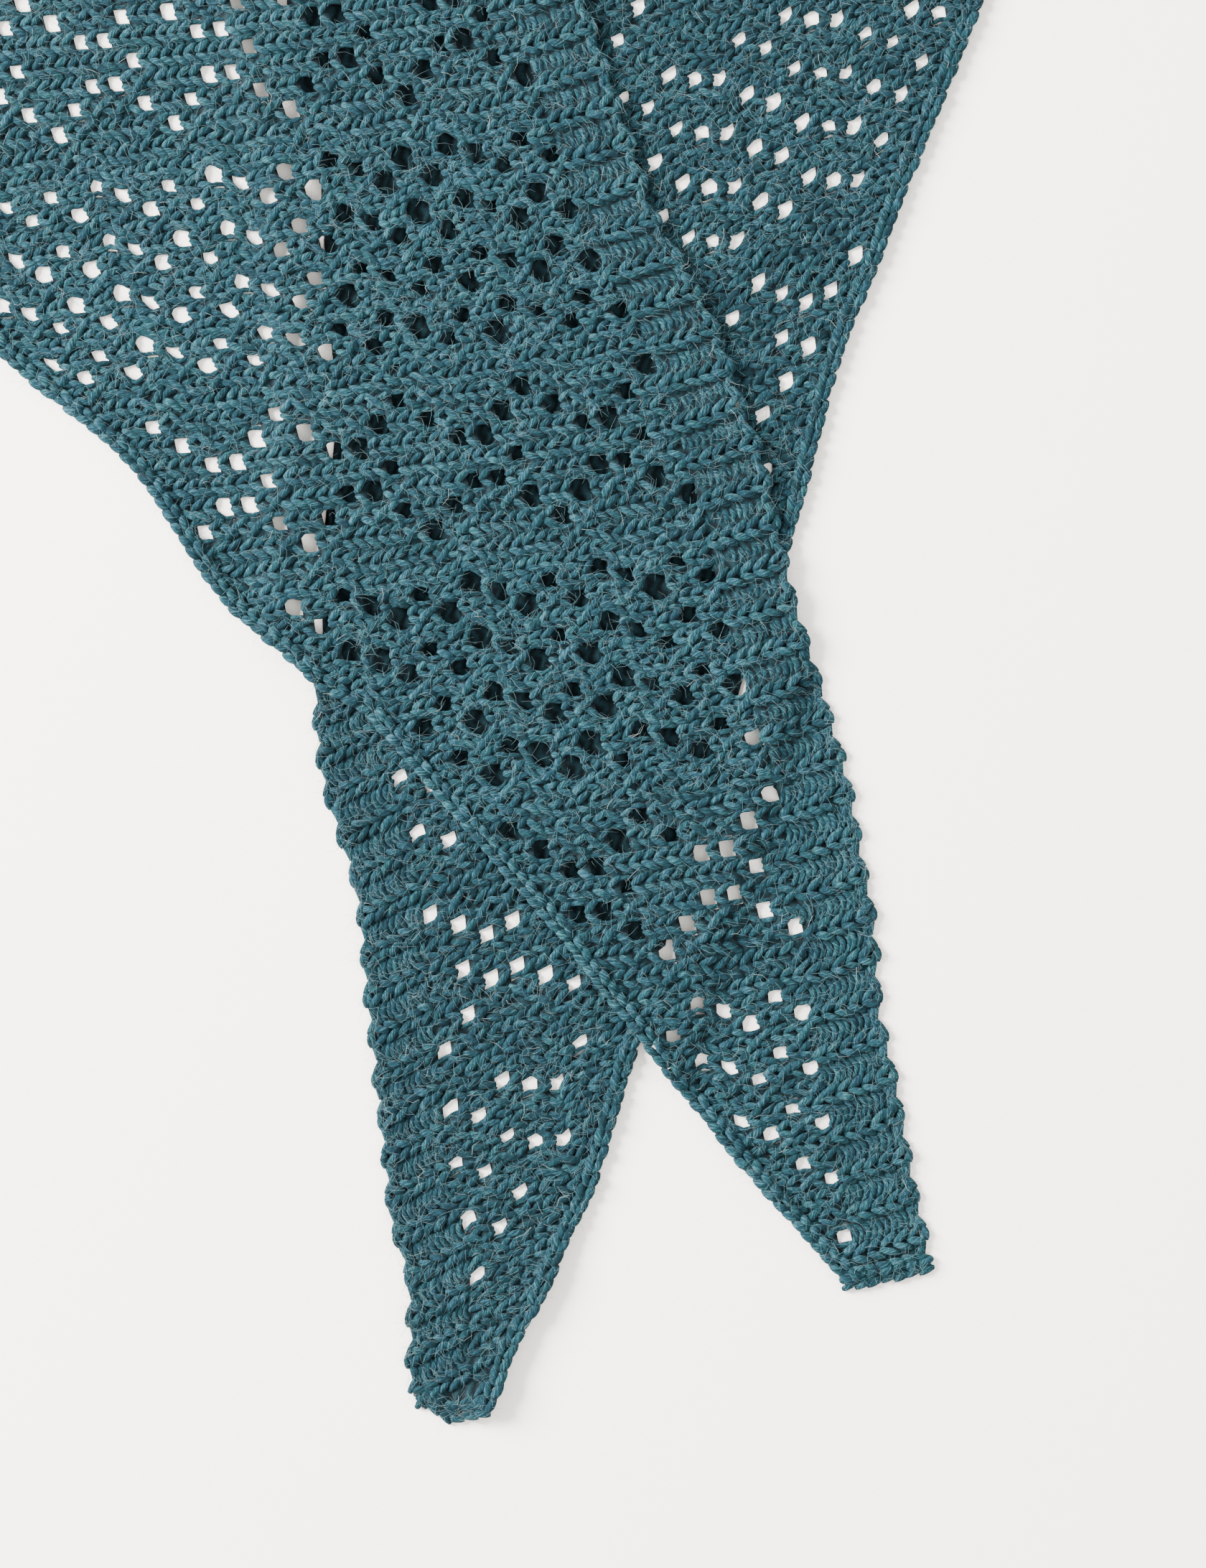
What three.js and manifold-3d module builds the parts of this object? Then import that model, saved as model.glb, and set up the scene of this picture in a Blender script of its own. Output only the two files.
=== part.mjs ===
// Triangle shawl in knitted wool lace, laid flat with its two tails crossed.
// The shallow triangle is one knitted piece. Its back lies lowest with the wrong side up.
// One tail is turned over the back along a fold, and the other tail is turned over both.
// The long neck edge of the triangle becomes the inner, ribbed edge of each tail.
// Units are millimetres. +X is right, +Y runs up to the middle of the neck and +Z is up.
import * as THREE from 'three';
import Module from 'manifold-3d';

// Cloth and layers
const WALL = 2.5;
const LAYER_GAP = 0.3;
const RELIEF = 0.8;
const TEAL = 0x2f6470;

// Corners of the laid shawl, seen from above
const MID_NECK = new THREE.Vector2(-22, 497.5);
const UNDER_START = new THREE.Vector2(-17, 452);
const OVER_TURN = new THREE.Vector2(-313, 118);
const UNDER_TURN = new THREE.Vector2(313, 187);
const BACK_POINT = new THREE.Vector2(-16, 12);
const OVER_TIP = { neck: new THREE.Vector2(231.5, -445), outer: new THREE.Vector2(202, -451) };
const UNDER_TIP = { neck: new THREE.Vector2(52, -490), outer: new THREE.Vector2(79, -494) };
const UNDER_END = new THREE.Vector2(64, -497.5);

// The back stays this far inside the two folds, where the tails bend round its edge.
// The folds meet at the middle of the neck, and the back stops short of that bunched corner.
const FOLD_INSET = 8.5;
const BACK_TOP = 415;
const BACK_REACH = { over: -284, under: 286 };

// Sideways waves of the edges: distance along the edge and how far it bows out there.
// Neck edges are measured from the middle of the neck, outer edges from the tip.
const OVER_NECK_WAVE = [
  { along: 0, out: 0 }, { along: 300, out: -2 }, { along: 520, out: -1 },
  { along: 585, out: 2 }, { along: 645, out: 14 }, { along: 690, out: 17 },
  { along: 740, out: 15 }, { along: 800, out: 17 }, { along: 840, out: 14 },
  { along: 895, out: 6 }, { along: 960, out: 2 }, { along: 977, out: 0 },
];
const OVER_OUTER_WAVE = [
  { along: 0, out: 0 }, { along: 45, out: 0 }, { along: 84, out: -1.5 },
  { along: 125, out: -4.5 }, { along: 166, out: -7.5 }, { along: 258, out: -9 },
  { along: 284, out: -2.5 }, { along: 321, out: 1.5 }, { along: 380, out: -6 },
  { along: 441, out: 1.5 }, { along: 600, out: 0 }, { along: 768, out: 0 },
];
const UNDER_NECK_WAVE = [
  { along: 0, out: 0 }, { along: 250, out: 4 }, { along: 476, out: 12 },
  { along: 521, out: 5 }, { along: 591, out: 5 }, { along: 666, out: 15 },
  { along: 716, out: 19 }, { along: 776, out: 8.5 }, { along: 876, out: 6 },
  { along: 906, out: 1 }, { along: 941, out: 3 }, { along: 967, out: 0 },
];
const UNDER_OUTER_WAVE = [
  { along: 0, out: 0 }, { along: 16, out: 0 }, { along: 55, out: 5 },
  { along: 87, out: 8 }, { along: 135, out: 6.5 }, { along: 315, out: 0 },
  { along: 390, out: -4.5 }, { along: 432, out: -2.5 }, { along: 519, out: 1.5 },
  { along: 720, out: 0 },
];

// Ribbed border along the neck edge: one rib and one furrow in each pitch
const RIB_PITCH = 14;
const BORDER_LINES = [0, 12, 26];
const SCALLOP = 1.6;

// Rolled rope along the outer edge and the fold, by distance in from there. Its points
// lie level with the edge's, so a slanting stretch spreads that distance by a factor.
const ROPE_CREST = 3;
const ROPE_FOOT = 8;
const ROPE_SPREAD = { over: { fold: 1.05, edge: 2 }, under: { fold: 1.06, edge: 1.4 } };

// The selvedge thins to its edge, and the cloth rounds down to the surface at a fold
const SELVEDGE_DROP = 0.75;
const FOLD_SHARE = { edge: 0.5, crest: 0.9 };
const FOLD_END = -1;

// The under tail's outer edge curls up beside its tip
const CURL_HEIGHT = 4.5;
const CURL_LENGTH = 75;
const CURL_SHARE = { edge: 1, crest: 0.7, foot: 0.1 };

// Rows of points across the cloth, by their height above the back's lower edge
const ROW_STEP = 34;
const ROW_TOP = 476;
const ROW_BOTTOM = -720;

// Closer rows where the under tail's two edges leave the over tail's outer edge
const CROSSINGS = [-265, -457];
const CROSSING_ROWS = CROSSINGS.flatMap((key) => [key + 20, key + 7, key - 7, key - 20]);

// Least width between neighbouring columns of points, least area of a plan triangle, and
// the step at which an outline is sampled
const ROOM = { rope: 2, border: 3, side: 2 };
const LEAST_AREA = 0.5;
const OUTLINE_STEP = 20;

// Where a tail comes down beyond what it covers: distances from that piece's edge
const UNDER_SETTLE = { start: 3, end: 16 };
const OVER_SETTLE = { start: 7, end: 22 };
const OVER_SIDE_SETTLE = { line: 8, start: 12, end: 24 };

// Lace repeat along the neck edge: a mesh panel has four eyelets in each lace row, and they
// shift sideways from row to row. Lace rows lie closer together towards the middle of the neck.
const REPEAT = 155.2;
const MESH = { holes: 4, spacing: 19.5 };
const MESH_SHIFT = [4.9, -2.9, 4.9, -0.7, -5.5];
const LACE_ROWS = 60;
const LACE_ROW = { from: 540, to: 740, near: 8.1, far: 9 };
const EYELET = { sides: 6, margin: 9 };
const CUTTER = { bottom: -1, top: 20 };

// Only the crossed part of the tails, below this line, has its largest eyelets cut through
const CUT_BELOW = 6;

// How the lines of stitches leave the neck edge: slope at the edge and far from it
const OVER_WALE = {
  side: -1, near: -0.45, far: -0.1, reach: 30, meshAt: 745, firstRow: 27.3,
  lean: -0.25, wide: 2.7, tall: 3.4,
};
const UNDER_WALE = {
  side: 1, near: 0.51, far: 0.51, reach: 80, meshAt: 578, firstRow: 24.5,
  lean: 0.3, wide: 2.8, tall: 4.5,
};

function lerp(a, b, t) {
  return a + (b - a) * t;
}

function waveAt(wave, along) {
  const last = wave.length - 1;
  if (along <= wave[0].along) return wave[0].out;
  if (along >= wave[last].along) return wave[last].out;
  const next = wave.findIndex((row) => row.along >= along);
  const from = wave[next - 1];
  const to = wave[next];
  const t = (along - from.along) / (to.along - from.along);
  return lerp(from.out, to.out, t * t * (3 - 2 * t));
}

// An edge is a straight chord bowed sideways by its wave. side is +1 where the cloth's
// outside lies to the right of the direction of travel, and -1 where it lies to the left.
function makeEdge(start, end, wave, side) {
  const length = start.distanceTo(end);
  const along = end.clone().sub(start).divideScalar(length);
  const outward = new THREE.Vector2(along.y, -along.x).multiplyScalar(side);
  return {
    length,
    at(distance, extra = 0) {
      const out = waveAt(wave, distance) + extra;
      return start.clone().addScaledVector(along, distance).addScaledVector(outward, out);
    },
  };
}

const overNeck = makeEdge(MID_NECK, OVER_TIP.neck, OVER_NECK_WAVE, -1);
const overOuter = makeEdge(OVER_TIP.outer, OVER_TURN, OVER_OUTER_WAVE, -1);
const underNeck = makeEdge(UNDER_START, UNDER_TIP.neck, UNDER_NECK_WAVE, 1);
const underOuter = makeEdge(UNDER_TIP.outer, UNDER_TURN, UNDER_OUTER_WAVE, 1);

// Height of a point above the back's lower edge, which rises to both sides of its point
function rowKey(x, y) {
  const turn = x < BACK_POINT.x ? OVER_TURN : UNDER_TURN;
  const slope = (turn.y - BACK_POINT.y) / (turn.x - BACK_POINT.x);
  return y - BACK_POINT.y - slope * (x - BACK_POINT.x);
}

function settled(distance, zone) {
  return THREE.MathUtils.clamp((zone.end - distance) / (zone.end - zone.start), 0, 1);
}

// Keys at which every long column of points has a point
function rowKeys(zone) {
  const keys = [0, -zone.start, -zone.end, ...CROSSING_ROWS];
  for (let key = ROW_TOP; key > ROW_BOTTOM; key -= ROW_STEP) {
    if (keys.every((other) => Math.abs(key - other) > ROW_STEP / 4)) keys.push(key);
  }
  return keys.sort((a, b) => b - a);
}

// The point of a line with a given key. The line is a function from 0 to 1, going down.
function pointAtKey(line, key) {
  let low = 0;
  let high = 1;
  for (let step = 0; step < 40; step += 1) {
    const middle = (low + high) / 2;
    const point = line(middle);
    if (rowKey(point.x, point.y) > key) low = middle;
    else high = middle;
  }
  return line((low + high) / 2);
}

function vertex(point, part) {
  return { x: point.x, y: point.y, key: rowKey(point.x, point.y), part };
}

// A column of points down a line, one at each key that the line reaches, with both ends
function keyedColumn(line, keys, part) {
  const first = vertex(line(0), part);
  const last = vertex(line(1), part);
  const clear = ROW_STEP / 8;
  const inside = keys.filter((key) => key < first.key - clear && key > last.key + clear);
  return [first, ...inside.map((key) => vertex(pointAtKey(line, key), part)), last];
}

function xAtKey(column, key) {
  const next = column.findIndex((item) => item.key <= key);
  if (next <= 0) return next === 0 ? column[0].x : column[column.length - 1].x;
  const from = column[next - 1];
  const to = column[next];
  return lerp(from.x, to.x, (key - from.key) / (to.key - from.key));
}

// Keeps a column between two others. Where it would leave them, it takes their points.
function between(column, left, right, room) {
  const limits = [{ column: left, sign: 1 }, { column: right, sign: -1 }];
  const state = column.map((item) => limits.findIndex((limit) => (
    limit.sign * (item.x - xAtKey(limit.column, item.key)) < room)));
  const result = state[0] < 0 ? left.filter((other) => other.key > column[0].key) : [];
  column.forEach((item, index) => {
    if (state[index] < 0) {
      result.push(item);
      return;
    }
    const limit = limits[state[index]].column;
    const above = index > 0 ? column[index - 1].key : Infinity;
    const below = index < column.length - 1 ? column[index + 1].key : -Infinity;
    const top = index > 0 && state[index - 1] === state[index] ? above : (above + item.key) / 2;
    const bottom = index < column.length - 1 && state[index + 1] === state[index]
      ? below : (below + item.key) / 2;
    limit.filter((other) => other.key <= top && other.key > bottom).forEach((other) => {
      if (!result.includes(other)) result.push(other);
    });
  });
  return result;
}

function planArea([a, b, c]) {
  return ((b.x - a.x) * (c.y - a.y) - (b.y - a.y) * (c.x - a.x)) / 2;
}

// Joins two columns by triangles, left column first. It steps down by key, and takes the
// other side's point where that step would turn a triangle over. Shared points are met
// together, because a column that is held between others borrows their points.
function zip(left, right) {
  const triangles = [];
  let i = 0;
  let j = 0;
  while (i < left.length - 1 || j < right.length - 1) {
    const nextLeft = left[i + 1];
    const nextRight = right[j + 1];
    if (nextLeft && nextLeft === nextRight) {
      if (left[i] !== right[j]) triangles.push([left[i], nextLeft, right[j]]);
      i += 1;
      j += 1;
      continue;
    }
    const leftWaits = !nextLeft || right.includes(nextLeft);
    const rightWaits = !nextRight || left.includes(nextRight);
    let stepLeft = nextLeft && (!nextRight || nextLeft.key >= nextRight.key);
    if (nextLeft && nextRight) {
      const byLeft = planArea([left[i], nextLeft, right[j]]);
      const byRight = planArea([left[i], nextRight, right[j]]);
      if (stepLeft && byLeft < LEAST_AREA && byRight > byLeft) stepLeft = false;
      else if (!stepLeft && byRight < LEAST_AREA && byLeft > byRight) stepLeft = true;
      if (leftWaits !== rightWaits) stepLeft = rightWaits;
    }
    const corners = [left[i], stepLeft ? nextLeft : nextRight, right[j]];
    if (new Set(corners).size === 3) triangles.push(corners);
    if (stepLeft) i += 1;
    else j += 1;
  }
  return triangles;
}

// A closed wall from a plan of triangles whose points know their lower and upper height
function wallFrom(triangles) {
  const ids = new Map();
  const positions = [];
  const idOf = (point) => {
    if (!ids.has(point)) {
      ids.set(point, ids.size * 2);
      positions.push(point.x, point.y, point.low, point.x, point.y, point.high);
    }
    return ids.get(point);
  };
  const faces = [];
  const edges = new Map();
  triangles.forEach((corners) => {
    const [a, b, c] = corners.map(idOf);
    faces.push(a + 1, b + 1, c + 1, a, c, b);
    [[a, b], [b, c], [c, a]].forEach(([from, to]) => edges.set(`${from}_${to}`, [from, to]));
  });
  edges.forEach(([from, to]) => {
    if (edges.has(`${to}_${from}`)) return;
    faces.push(from, to, to + 1, from, to + 1, from + 1);
  });
  return { positions, faces };
}

// Plan outline tests
function distanceToSegment(point, from, to) {
  const line = to.clone().sub(from);
  const t = THREE.MathUtils.clamp(point.clone().sub(from).dot(line) / line.lengthSq(), 0, 1);
  return from.clone().addScaledVector(line, t).distanceTo(point);
}

function outsideDistance(outline, point) {
  let inside = false;
  let nearest = Infinity;
  outline.forEach((to, index) => {
    const from = outline[(index + outline.length - 1) % outline.length];
    nearest = Math.min(nearest, distanceToSegment(point, from, to));
    if ((from.y > point.y) === (to.y > point.y)) return;
    const crossing = lerp(from.x, to.x, (point.y - from.y) / (to.y - from.y));
    if (point.x < crossing) inside = !inside;
  });
  return inside ? -nearest : nearest;
}

function sampleEdge(edge) {
  const count = Math.ceil(edge.length / OUTLINE_STEP);
  return Array.from({ length: count + 1 }, (_, index) => edge.at((edge.length * index) / count));
}

const overOutline = [...sampleEdge(overNeck), ...sampleEdge(overOuter)];
const underOutline = [...sampleEdge(underNeck), UNDER_END, ...sampleEdge(underOuter)];

// How far a line of stitches has gone sideways and along at a distance from the neck edge
function walePoint(wale, distance) {
  const bend = (wale.near - wale.far) * wale.reach * (1 - Math.exp(-distance / wale.reach));
  return new THREE.Vector2(wale.side * distance, wale.far * distance + bend);
}

// Undersides of the two tails
function underLow(x, y) {
  return (WALL + LAYER_GAP) * settled(-rowKey(x, y), UNDER_SETTLE);
}

function overLow(x, y) {
  const onBack = (WALL + LAYER_GAP) * settled(-rowKey(x, y), OVER_SETTLE);
  const side = settled(outsideDistance(underOutline, new THREE.Vector2(x, y)), OVER_SIDE_SETTLE);
  return onBack + (WALL + RELIEF + LAYER_GAP) * side;
}

// Ribbed border: lines of points beside the neck edge, on ribs and furrows in turn
function borderColumns(neck, wale) {
  const steps = Math.round(neck.length / (RIB_PITCH / 2));
  return BORDER_LINES.map((distance) => {
    const column = [];
    for (let step = 0; step <= steps; step += 1) {
      const end = step === 0 || step === steps;
      const rib = step % 2 === 1 && !end;
      const bump = distance === 0 && rib ? SCALLOP : 0;
      const point = neck.at((neck.length * step) / steps, bump).add(walePoint(wale, distance));
      const item = vertex(point, 'border');
      item.rib = rib;
      column.push(item);
    }
    return column;
  });
}

// The outer side of a tail: down the fold, then along the outer edge to the tip
function outerLine(start, turn, outer, inward) {
  const fold = start.distanceTo(turn);
  const whole = fold + outer.length;
  return (t) => {
    const gone = t * whole;
    const point = gone < fold ? start.clone().lerp(turn, gone / fold) : outer.at(whole - gone);
    point.x += gone < fold ? inward.fold : inward.edge;
    return point;
  };
}

function setHeights(columns, lowOf, curlOf) {
  new Set(columns.flat()).forEach((item) => {
    const low = lowOf(item.x, item.y);
    const curl = curlOf(item);
    const folded = item.key > FOLD_END;
    item.low = low + curl;
    item.high = low + curl + WALL;
    if (item.part === 'border' && item.rib) item.high += RELIEF;
    if (item.part in FOLD_SHARE && folded) {
      item.low = 0;
      item.high = (low + WALL) * FOLD_SHARE[item.part];
    }
    if (item.part === 'edge' && !folded) item.high -= SELVEDGE_DROP;
    if (item.part === 'crest' && !folded) item.high += RELIEF;
  });
}

// The over tail, from its outer side on the left to its neck edge on the right
function overTriangles() {
  const keys = rowKeys(OVER_SETTLE);
  const neckColumns = borderColumns(overNeck, OVER_WALE);
  const [neck, ...inner] = neckColumns;
  const lineAt = (inward) => outerLine(MID_NECK, OVER_TURN, overOuter, inward);
  const edge = keyedColumn(lineAt({ fold: 0, edge: 0 }), keys, 'edge');
  edge[0] = neck[0];
  const rope = [ROPE_CREST, ROPE_FOOT].map((inset, index) => {
    const spread = ROPE_SPREAD.over;
    const line = lineAt({ fold: inset * spread.fold, edge: inset * spread.edge });
    return between(keyedColumn(line, keys, index ? 'foot' : 'crest'), edge, neck, ROOM.rope);
  });
  const border = inner.map((column) => between(column, rope[1], neck, ROOM.border));
  const last = border[border.length - 1];
  const sideColumn = (edgeOf, shift) => {
    const beside = (t) => edgeOf.at(t * edgeOf.length).add(new THREE.Vector2(shift, 0));
    const down = edgeOf === underOuter ? (t) => beside(1 - t) : beside;
    return between(keyedColumn(down, keys, 'inside'), rope[1], last, ROOM.side);
  };
  const { line, end } = OVER_SIDE_SETTLE;
  const left = [sideColumn(underNeck, -end), sideColumn(underNeck, -line)];
  const right = [sideColumn(underOuter, line), sideColumn(underOuter, end)];
  const columns = [edge, ...rope, ...left, ...right, ...border.reverse(), neck];
  setHeights(columns, overLow, () => 0);
  return columns.slice(1).flatMap((column, index) => zip(columns[index], column));
}

function underCurl(item) {
  const fromTip = item.y - UNDER_END.y;
  if (fromTip > CURL_LENGTH) return 0;
  const share = CURL_SHARE[item.part] ?? 0;
  return CURL_HEIGHT * share * Math.sqrt(1 - fromTip / CURL_LENGTH);
}

// The under tail, from its neck edge on the left to its outer side on the right
function underTriangles() {
  const keys = rowKeys(UNDER_SETTLE);
  const neckColumns = borderColumns(underNeck, UNDER_WALE);
  const [neck, ...inner] = neckColumns;
  neck.push(vertex(UNDER_END, 'border'));
  const lineAt = (inward) => outerLine(UNDER_START, UNDER_TURN, underOuter, inward);
  const edge = keyedColumn(lineAt({ fold: 0, edge: 0 }), keys, 'edge');
  edge[0] = neck[0];
  const rope = [ROPE_CREST, ROPE_FOOT].map((inset, index) => {
    const spread = ROPE_SPREAD.under;
    const line = lineAt({ fold: -inset * spread.fold, edge: -inset * spread.edge });
    return between(keyedColumn(line, keys, index ? 'foot' : 'crest'), neck, edge, ROOM.rope);
  });
  const border = inner.map((column) => between(column, neck, rope[1], ROOM.border));
  const columns = [neck, ...border, ...rope.reverse(), edge];
  setHeights(columns, underLow, underCurl);
  return columns.slice(1).flatMap((column, index) => zip(columns[index], column));
}

// Where two lines meet, each given by a point and a direction
function meet(from, along, otherFrom, otherAlong) {
  const gap = otherFrom.clone().sub(from);
  return from.clone().addScaledVector(along, gap.cross(otherAlong) / along.cross(otherAlong));
}

// The hidden back is one plain wall inside the folds
function backTriangles() {
  const side = (start, turn, sign, reach) => {
    const fold = turn.clone().sub(start).normalize();
    const inner = new THREE.Vector2(-fold.y, fold.x).multiplyScalar(sign * FOLD_INSET).add(start);
    const upright = [new THREE.Vector2(reach, 0), new THREE.Vector2(0, 1)];
    return [
      meet(new THREE.Vector2(0, BACK_TOP), new THREE.Vector2(1, 0), inner, fold),
      meet(...upright, inner, fold),
      meet(...upright, BACK_POINT, turn.clone().sub(BACK_POINT)),
    ];
  };
  const over = side(MID_NECK, OVER_TURN, 1, BACK_REACH.over);
  const under = side(UNDER_START, UNDER_TURN, -1, BACK_REACH.under);
  const corners = [...over, BACK_POINT, ...under.reverse()];
  const points = corners.map((corner) => ({ x: corner.x, y: corner.y, low: 0, high: WALL }));
  const fans = Array.from({ length: points.length - 2 }, (_, index) => index + 1);
  return fans.map((index) => [points[0], points[index], points[index + 1]]);
}

// The largest eyelets of each repeat, those of the mesh panels, as centres in plan
function eyelets(neck, wale, outline) {
  const centres = [];
  const first = -Math.ceil(wale.meshAt / REPEAT);
  const last = Math.ceil((neck.length - wale.meshAt) / REPEAT);
  for (let row = 0; row < LACE_ROWS; row += 1) {
    const shift = -wale.side * MESH_SHIFT[row % MESH_SHIFT.length];
    for (let hole = first * MESH.holes; hole < (last + 1) * MESH.holes; hole += 1) {
      const panel = Math.floor(hole / MESH.holes);
      const place = hole - panel * MESH.holes - (MESH.holes - 1) / 2;
      const along = wale.meshAt + panel * REPEAT + place * MESH.spacing + shift;
      const share = (along - LACE_ROW.from) / (LACE_ROW.to - LACE_ROW.from);
      const pitch = lerp(LACE_ROW.near, LACE_ROW.far, Math.min(Math.max(share, 0), 1));
      const centre = neck.at(along).add(walePoint(wale, wale.firstRow + row * pitch));
      const inside = -outsideDistance(outline, centre);
      const onCloth = along > 0 && along < neck.length && inside > EYELET.margin;
      if (onCloth && centre.y < CUT_BELOW) centres.push(centre);
    }
  }
  return centres;
}

function eyeletPrisms(centres, { lean, wide, tall }) {
  const positions = [];
  const faces = [];
  centres.forEach((centre) => {
    const base = positions.length / 3;
    for (let side = 0; side < EYELET.sides; side += 1) {
      const angle = (side / EYELET.sides) * Math.PI * 2;
      const y = Math.sin(angle) * tall;
      const x = Math.cos(angle) * wide + y * lean;
      positions.push(centre.x + x, centre.y + y, CUTTER.bottom);
      positions.push(centre.x + x, centre.y + y, CUTTER.top);
    }
    for (let side = 0; side < EYELET.sides; side += 1) {
      const a = base + side * 2;
      const b = base + ((side + 1) % EYELET.sides) * 2;
      faces.push(a, b, b + 1, a, b + 1, a + 1);
      if (side > 0 && side < EYELET.sides - 1) faces.push(base, b, a, base + 1, a + 1, b + 1);
    }
  });
  return { positions, faces };
}

const wasm = await Module();
wasm.setup();

function solidFrom({ positions, faces }) {
  const vertProperties = new Float32Array(positions);
  const triVerts = new Uint32Array(faces);
  return new wasm.Manifold(new wasm.Mesh({ numProp: 3, vertProperties, triVerts }));
}

function geometryFrom(solid) {
  const mesh = solid.getMesh();
  const geometry = new THREE.BufferGeometry();
  geometry.setAttribute('position', new THREE.BufferAttribute(mesh.vertProperties, 3));
  geometry.setIndex(new THREE.BufferAttribute(mesh.triVerts, 1));
  return geometry;
}

function clothMesh(name, solid) {
  const material = new THREE.MeshStandardMaterial({ color: TEAL, roughness: 0.95, metalness: 0 });
  const mesh = new THREE.Mesh(geometryFrom(solid), material);
  mesh.name = name;
  return mesh;
}

// The over tail hides some of the under tail's eyelets, and those stay uncut
const overHoles = eyelets(overNeck, OVER_WALE, overOutline);
const underHoles = eyelets(underNeck, UNDER_WALE, underOutline)
  .filter((centre) => outsideDistance(overOutline, centre) > -UNDER_WALE.tall);

const backWall = solidFrom(wallFrom(backTriangles()));
const underWall = solidFrom(wallFrom(underTriangles()));
const overWall = solidFrom(wallFrom(overTriangles()));
const underCutters = solidFrom(eyeletPrisms(underHoles, UNDER_WALE));
const overCutters = solidFrom(eyeletPrisms(overHoles, OVER_WALE));

const shawl = new THREE.Group();
shawl.add(clothMesh('back', backWall));
shawl.add(clothMesh('tail_under', underWall.subtract(underCutters)));
shawl.add(clothMesh('tail_over', overWall.subtract(overCutters)));

export default shawl;
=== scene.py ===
"""Dresses a hand-knitted lace triangle shawl that lies flat with its two tails crossed.

Sizes are in millimetres in the plan of the laid shawl, and each mesh is made in metres.
Each tail gets a thin cloth with its eyelets open, and the knitted yarn that lies on it:
stitches, decreases, the edges of yarn overs, the ribbed border, the bound-off chain, the
raised selvedge and loose fibres. The back gets a plain thin cloth. All cloths carry painted shade.
"""

import logging
import math
from collections.abc import Callable, Iterator
from dataclasses import dataclass, field
from enum import Enum

import bpy
import numpy as np
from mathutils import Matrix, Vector, kdtree

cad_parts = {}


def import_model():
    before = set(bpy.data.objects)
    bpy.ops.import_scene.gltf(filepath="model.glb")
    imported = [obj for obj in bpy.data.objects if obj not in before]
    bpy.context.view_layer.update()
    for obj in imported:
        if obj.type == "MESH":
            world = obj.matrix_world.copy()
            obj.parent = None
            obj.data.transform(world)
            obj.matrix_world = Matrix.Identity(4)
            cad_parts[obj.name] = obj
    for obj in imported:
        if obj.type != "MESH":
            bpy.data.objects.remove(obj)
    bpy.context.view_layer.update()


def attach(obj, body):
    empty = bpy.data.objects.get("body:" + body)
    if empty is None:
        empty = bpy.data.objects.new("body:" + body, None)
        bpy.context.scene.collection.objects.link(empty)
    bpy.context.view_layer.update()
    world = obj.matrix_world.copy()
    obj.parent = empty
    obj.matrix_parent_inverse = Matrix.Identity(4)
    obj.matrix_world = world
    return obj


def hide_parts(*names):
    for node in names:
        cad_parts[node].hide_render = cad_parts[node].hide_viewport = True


LOG = logging.getLogger("shawl")
MM = 0.001
BATCH = 4000
CLOSE_LEFT = -105.0
CLOSE_TOP = 10.0

Counts = tuple[np.ndarray, np.ndarray]
Spot = Callable[[np.ndarray, np.ndarray], np.ndarray]


class Layer(Enum):
    """The three stretches of the shawl, from the lowest to the highest."""

    BACK = "back"
    UNDER = "tail_under"
    OVER = "tail_over"


class Detail(Enum):
    """How finely yarn is made: points along one length of it, and its sides."""

    FINE = (5, 5)
    PLAIN = (3, 4)
    HAIR = (3, 3)

    @property
    def steps(self) -> int:
        """Points along one length of yarn."""
        return self.value[0]

    @property
    def sides(self) -> int:
        """Sides of the yarn's section."""
        return self.value[1]


@dataclass(frozen=True)
class Cloth:
    """Thicknesses of the cloth and the sizes of its border, in millimetres."""

    wall: float = 2.5
    layer_gap: float = 0.3
    relief: float = 0.8
    rib_pitch: float = 14.0
    scallop: float = 1.5
    scallop_fade: float = 6.0
    rim: float = 0.6
    border_rows: int = 5
    border_from: float = 4.8
    border_to_lace: float = 4.3
    backing_low: float = 0.1
    backing_high: float = 0.95
    backing_least: float = 0.4
    yarn_height: float = 0.95
    margin: float = 9.0
    tip_margin: float = 15.5


@dataclass(frozen=True)
class Laying:
    """How a layer comes down off the one below it, and how the folds and the curl round.

    Distances are in millimetres in the plan, and shares are parts of a height.
    """

    under_off_back: tuple[float, float] = (3.0, 16.0)
    over_off_back: tuple[float, float] = (7.0, 22.0)
    over_off_tail: tuple[float, float] = (12.0, 24.0)
    fold_distances: tuple[float, ...] = (0.0, 3.0, 8.0)
    fold_shares: tuple[float, ...] = (0.45, 0.9, 1.0)
    fold_end: float = -4.0
    fold_width: float = 9.0
    fold_reach: float = -15.0
    curl_length: float = 75.0
    curl_rise: float = 4.5
    curl_distances: tuple[float, ...] = (0.0, 3.5, 10.0, 16.0)
    curl_shares: tuple[float, ...] = (1.0, 0.75, 0.12, 0.0)


@dataclass(frozen=True)
class Insets:
    """How far things stay inside the outline, beside the fold and elsewhere."""

    by_fold: float
    elsewhere: float

    def at(self, by_fold: np.ndarray) -> np.ndarray:
        """The inset of each point, given which of them lie beside the fold."""
        return np.where(by_fold, self.by_fold, self.elsewhere)


@dataclass(frozen=True)
class Opening:
    """How wide eyelets open, and how the knitting gives way round them."""

    uneven: tuple[float, float] = (0.35, 1.1)
    on_cloth: float = 1.35
    on_floor: float = 0.78
    tip_heights: tuple[float, float] = (-430.0, -290.0)
    tip_shares: tuple[float, float] = (0.62, 1.0)
    rim: float = 0.9
    reach: float = 11.0
    least: float = 0.05
    fade: float = 1.6
    cloth_push: float = 2.2


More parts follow.
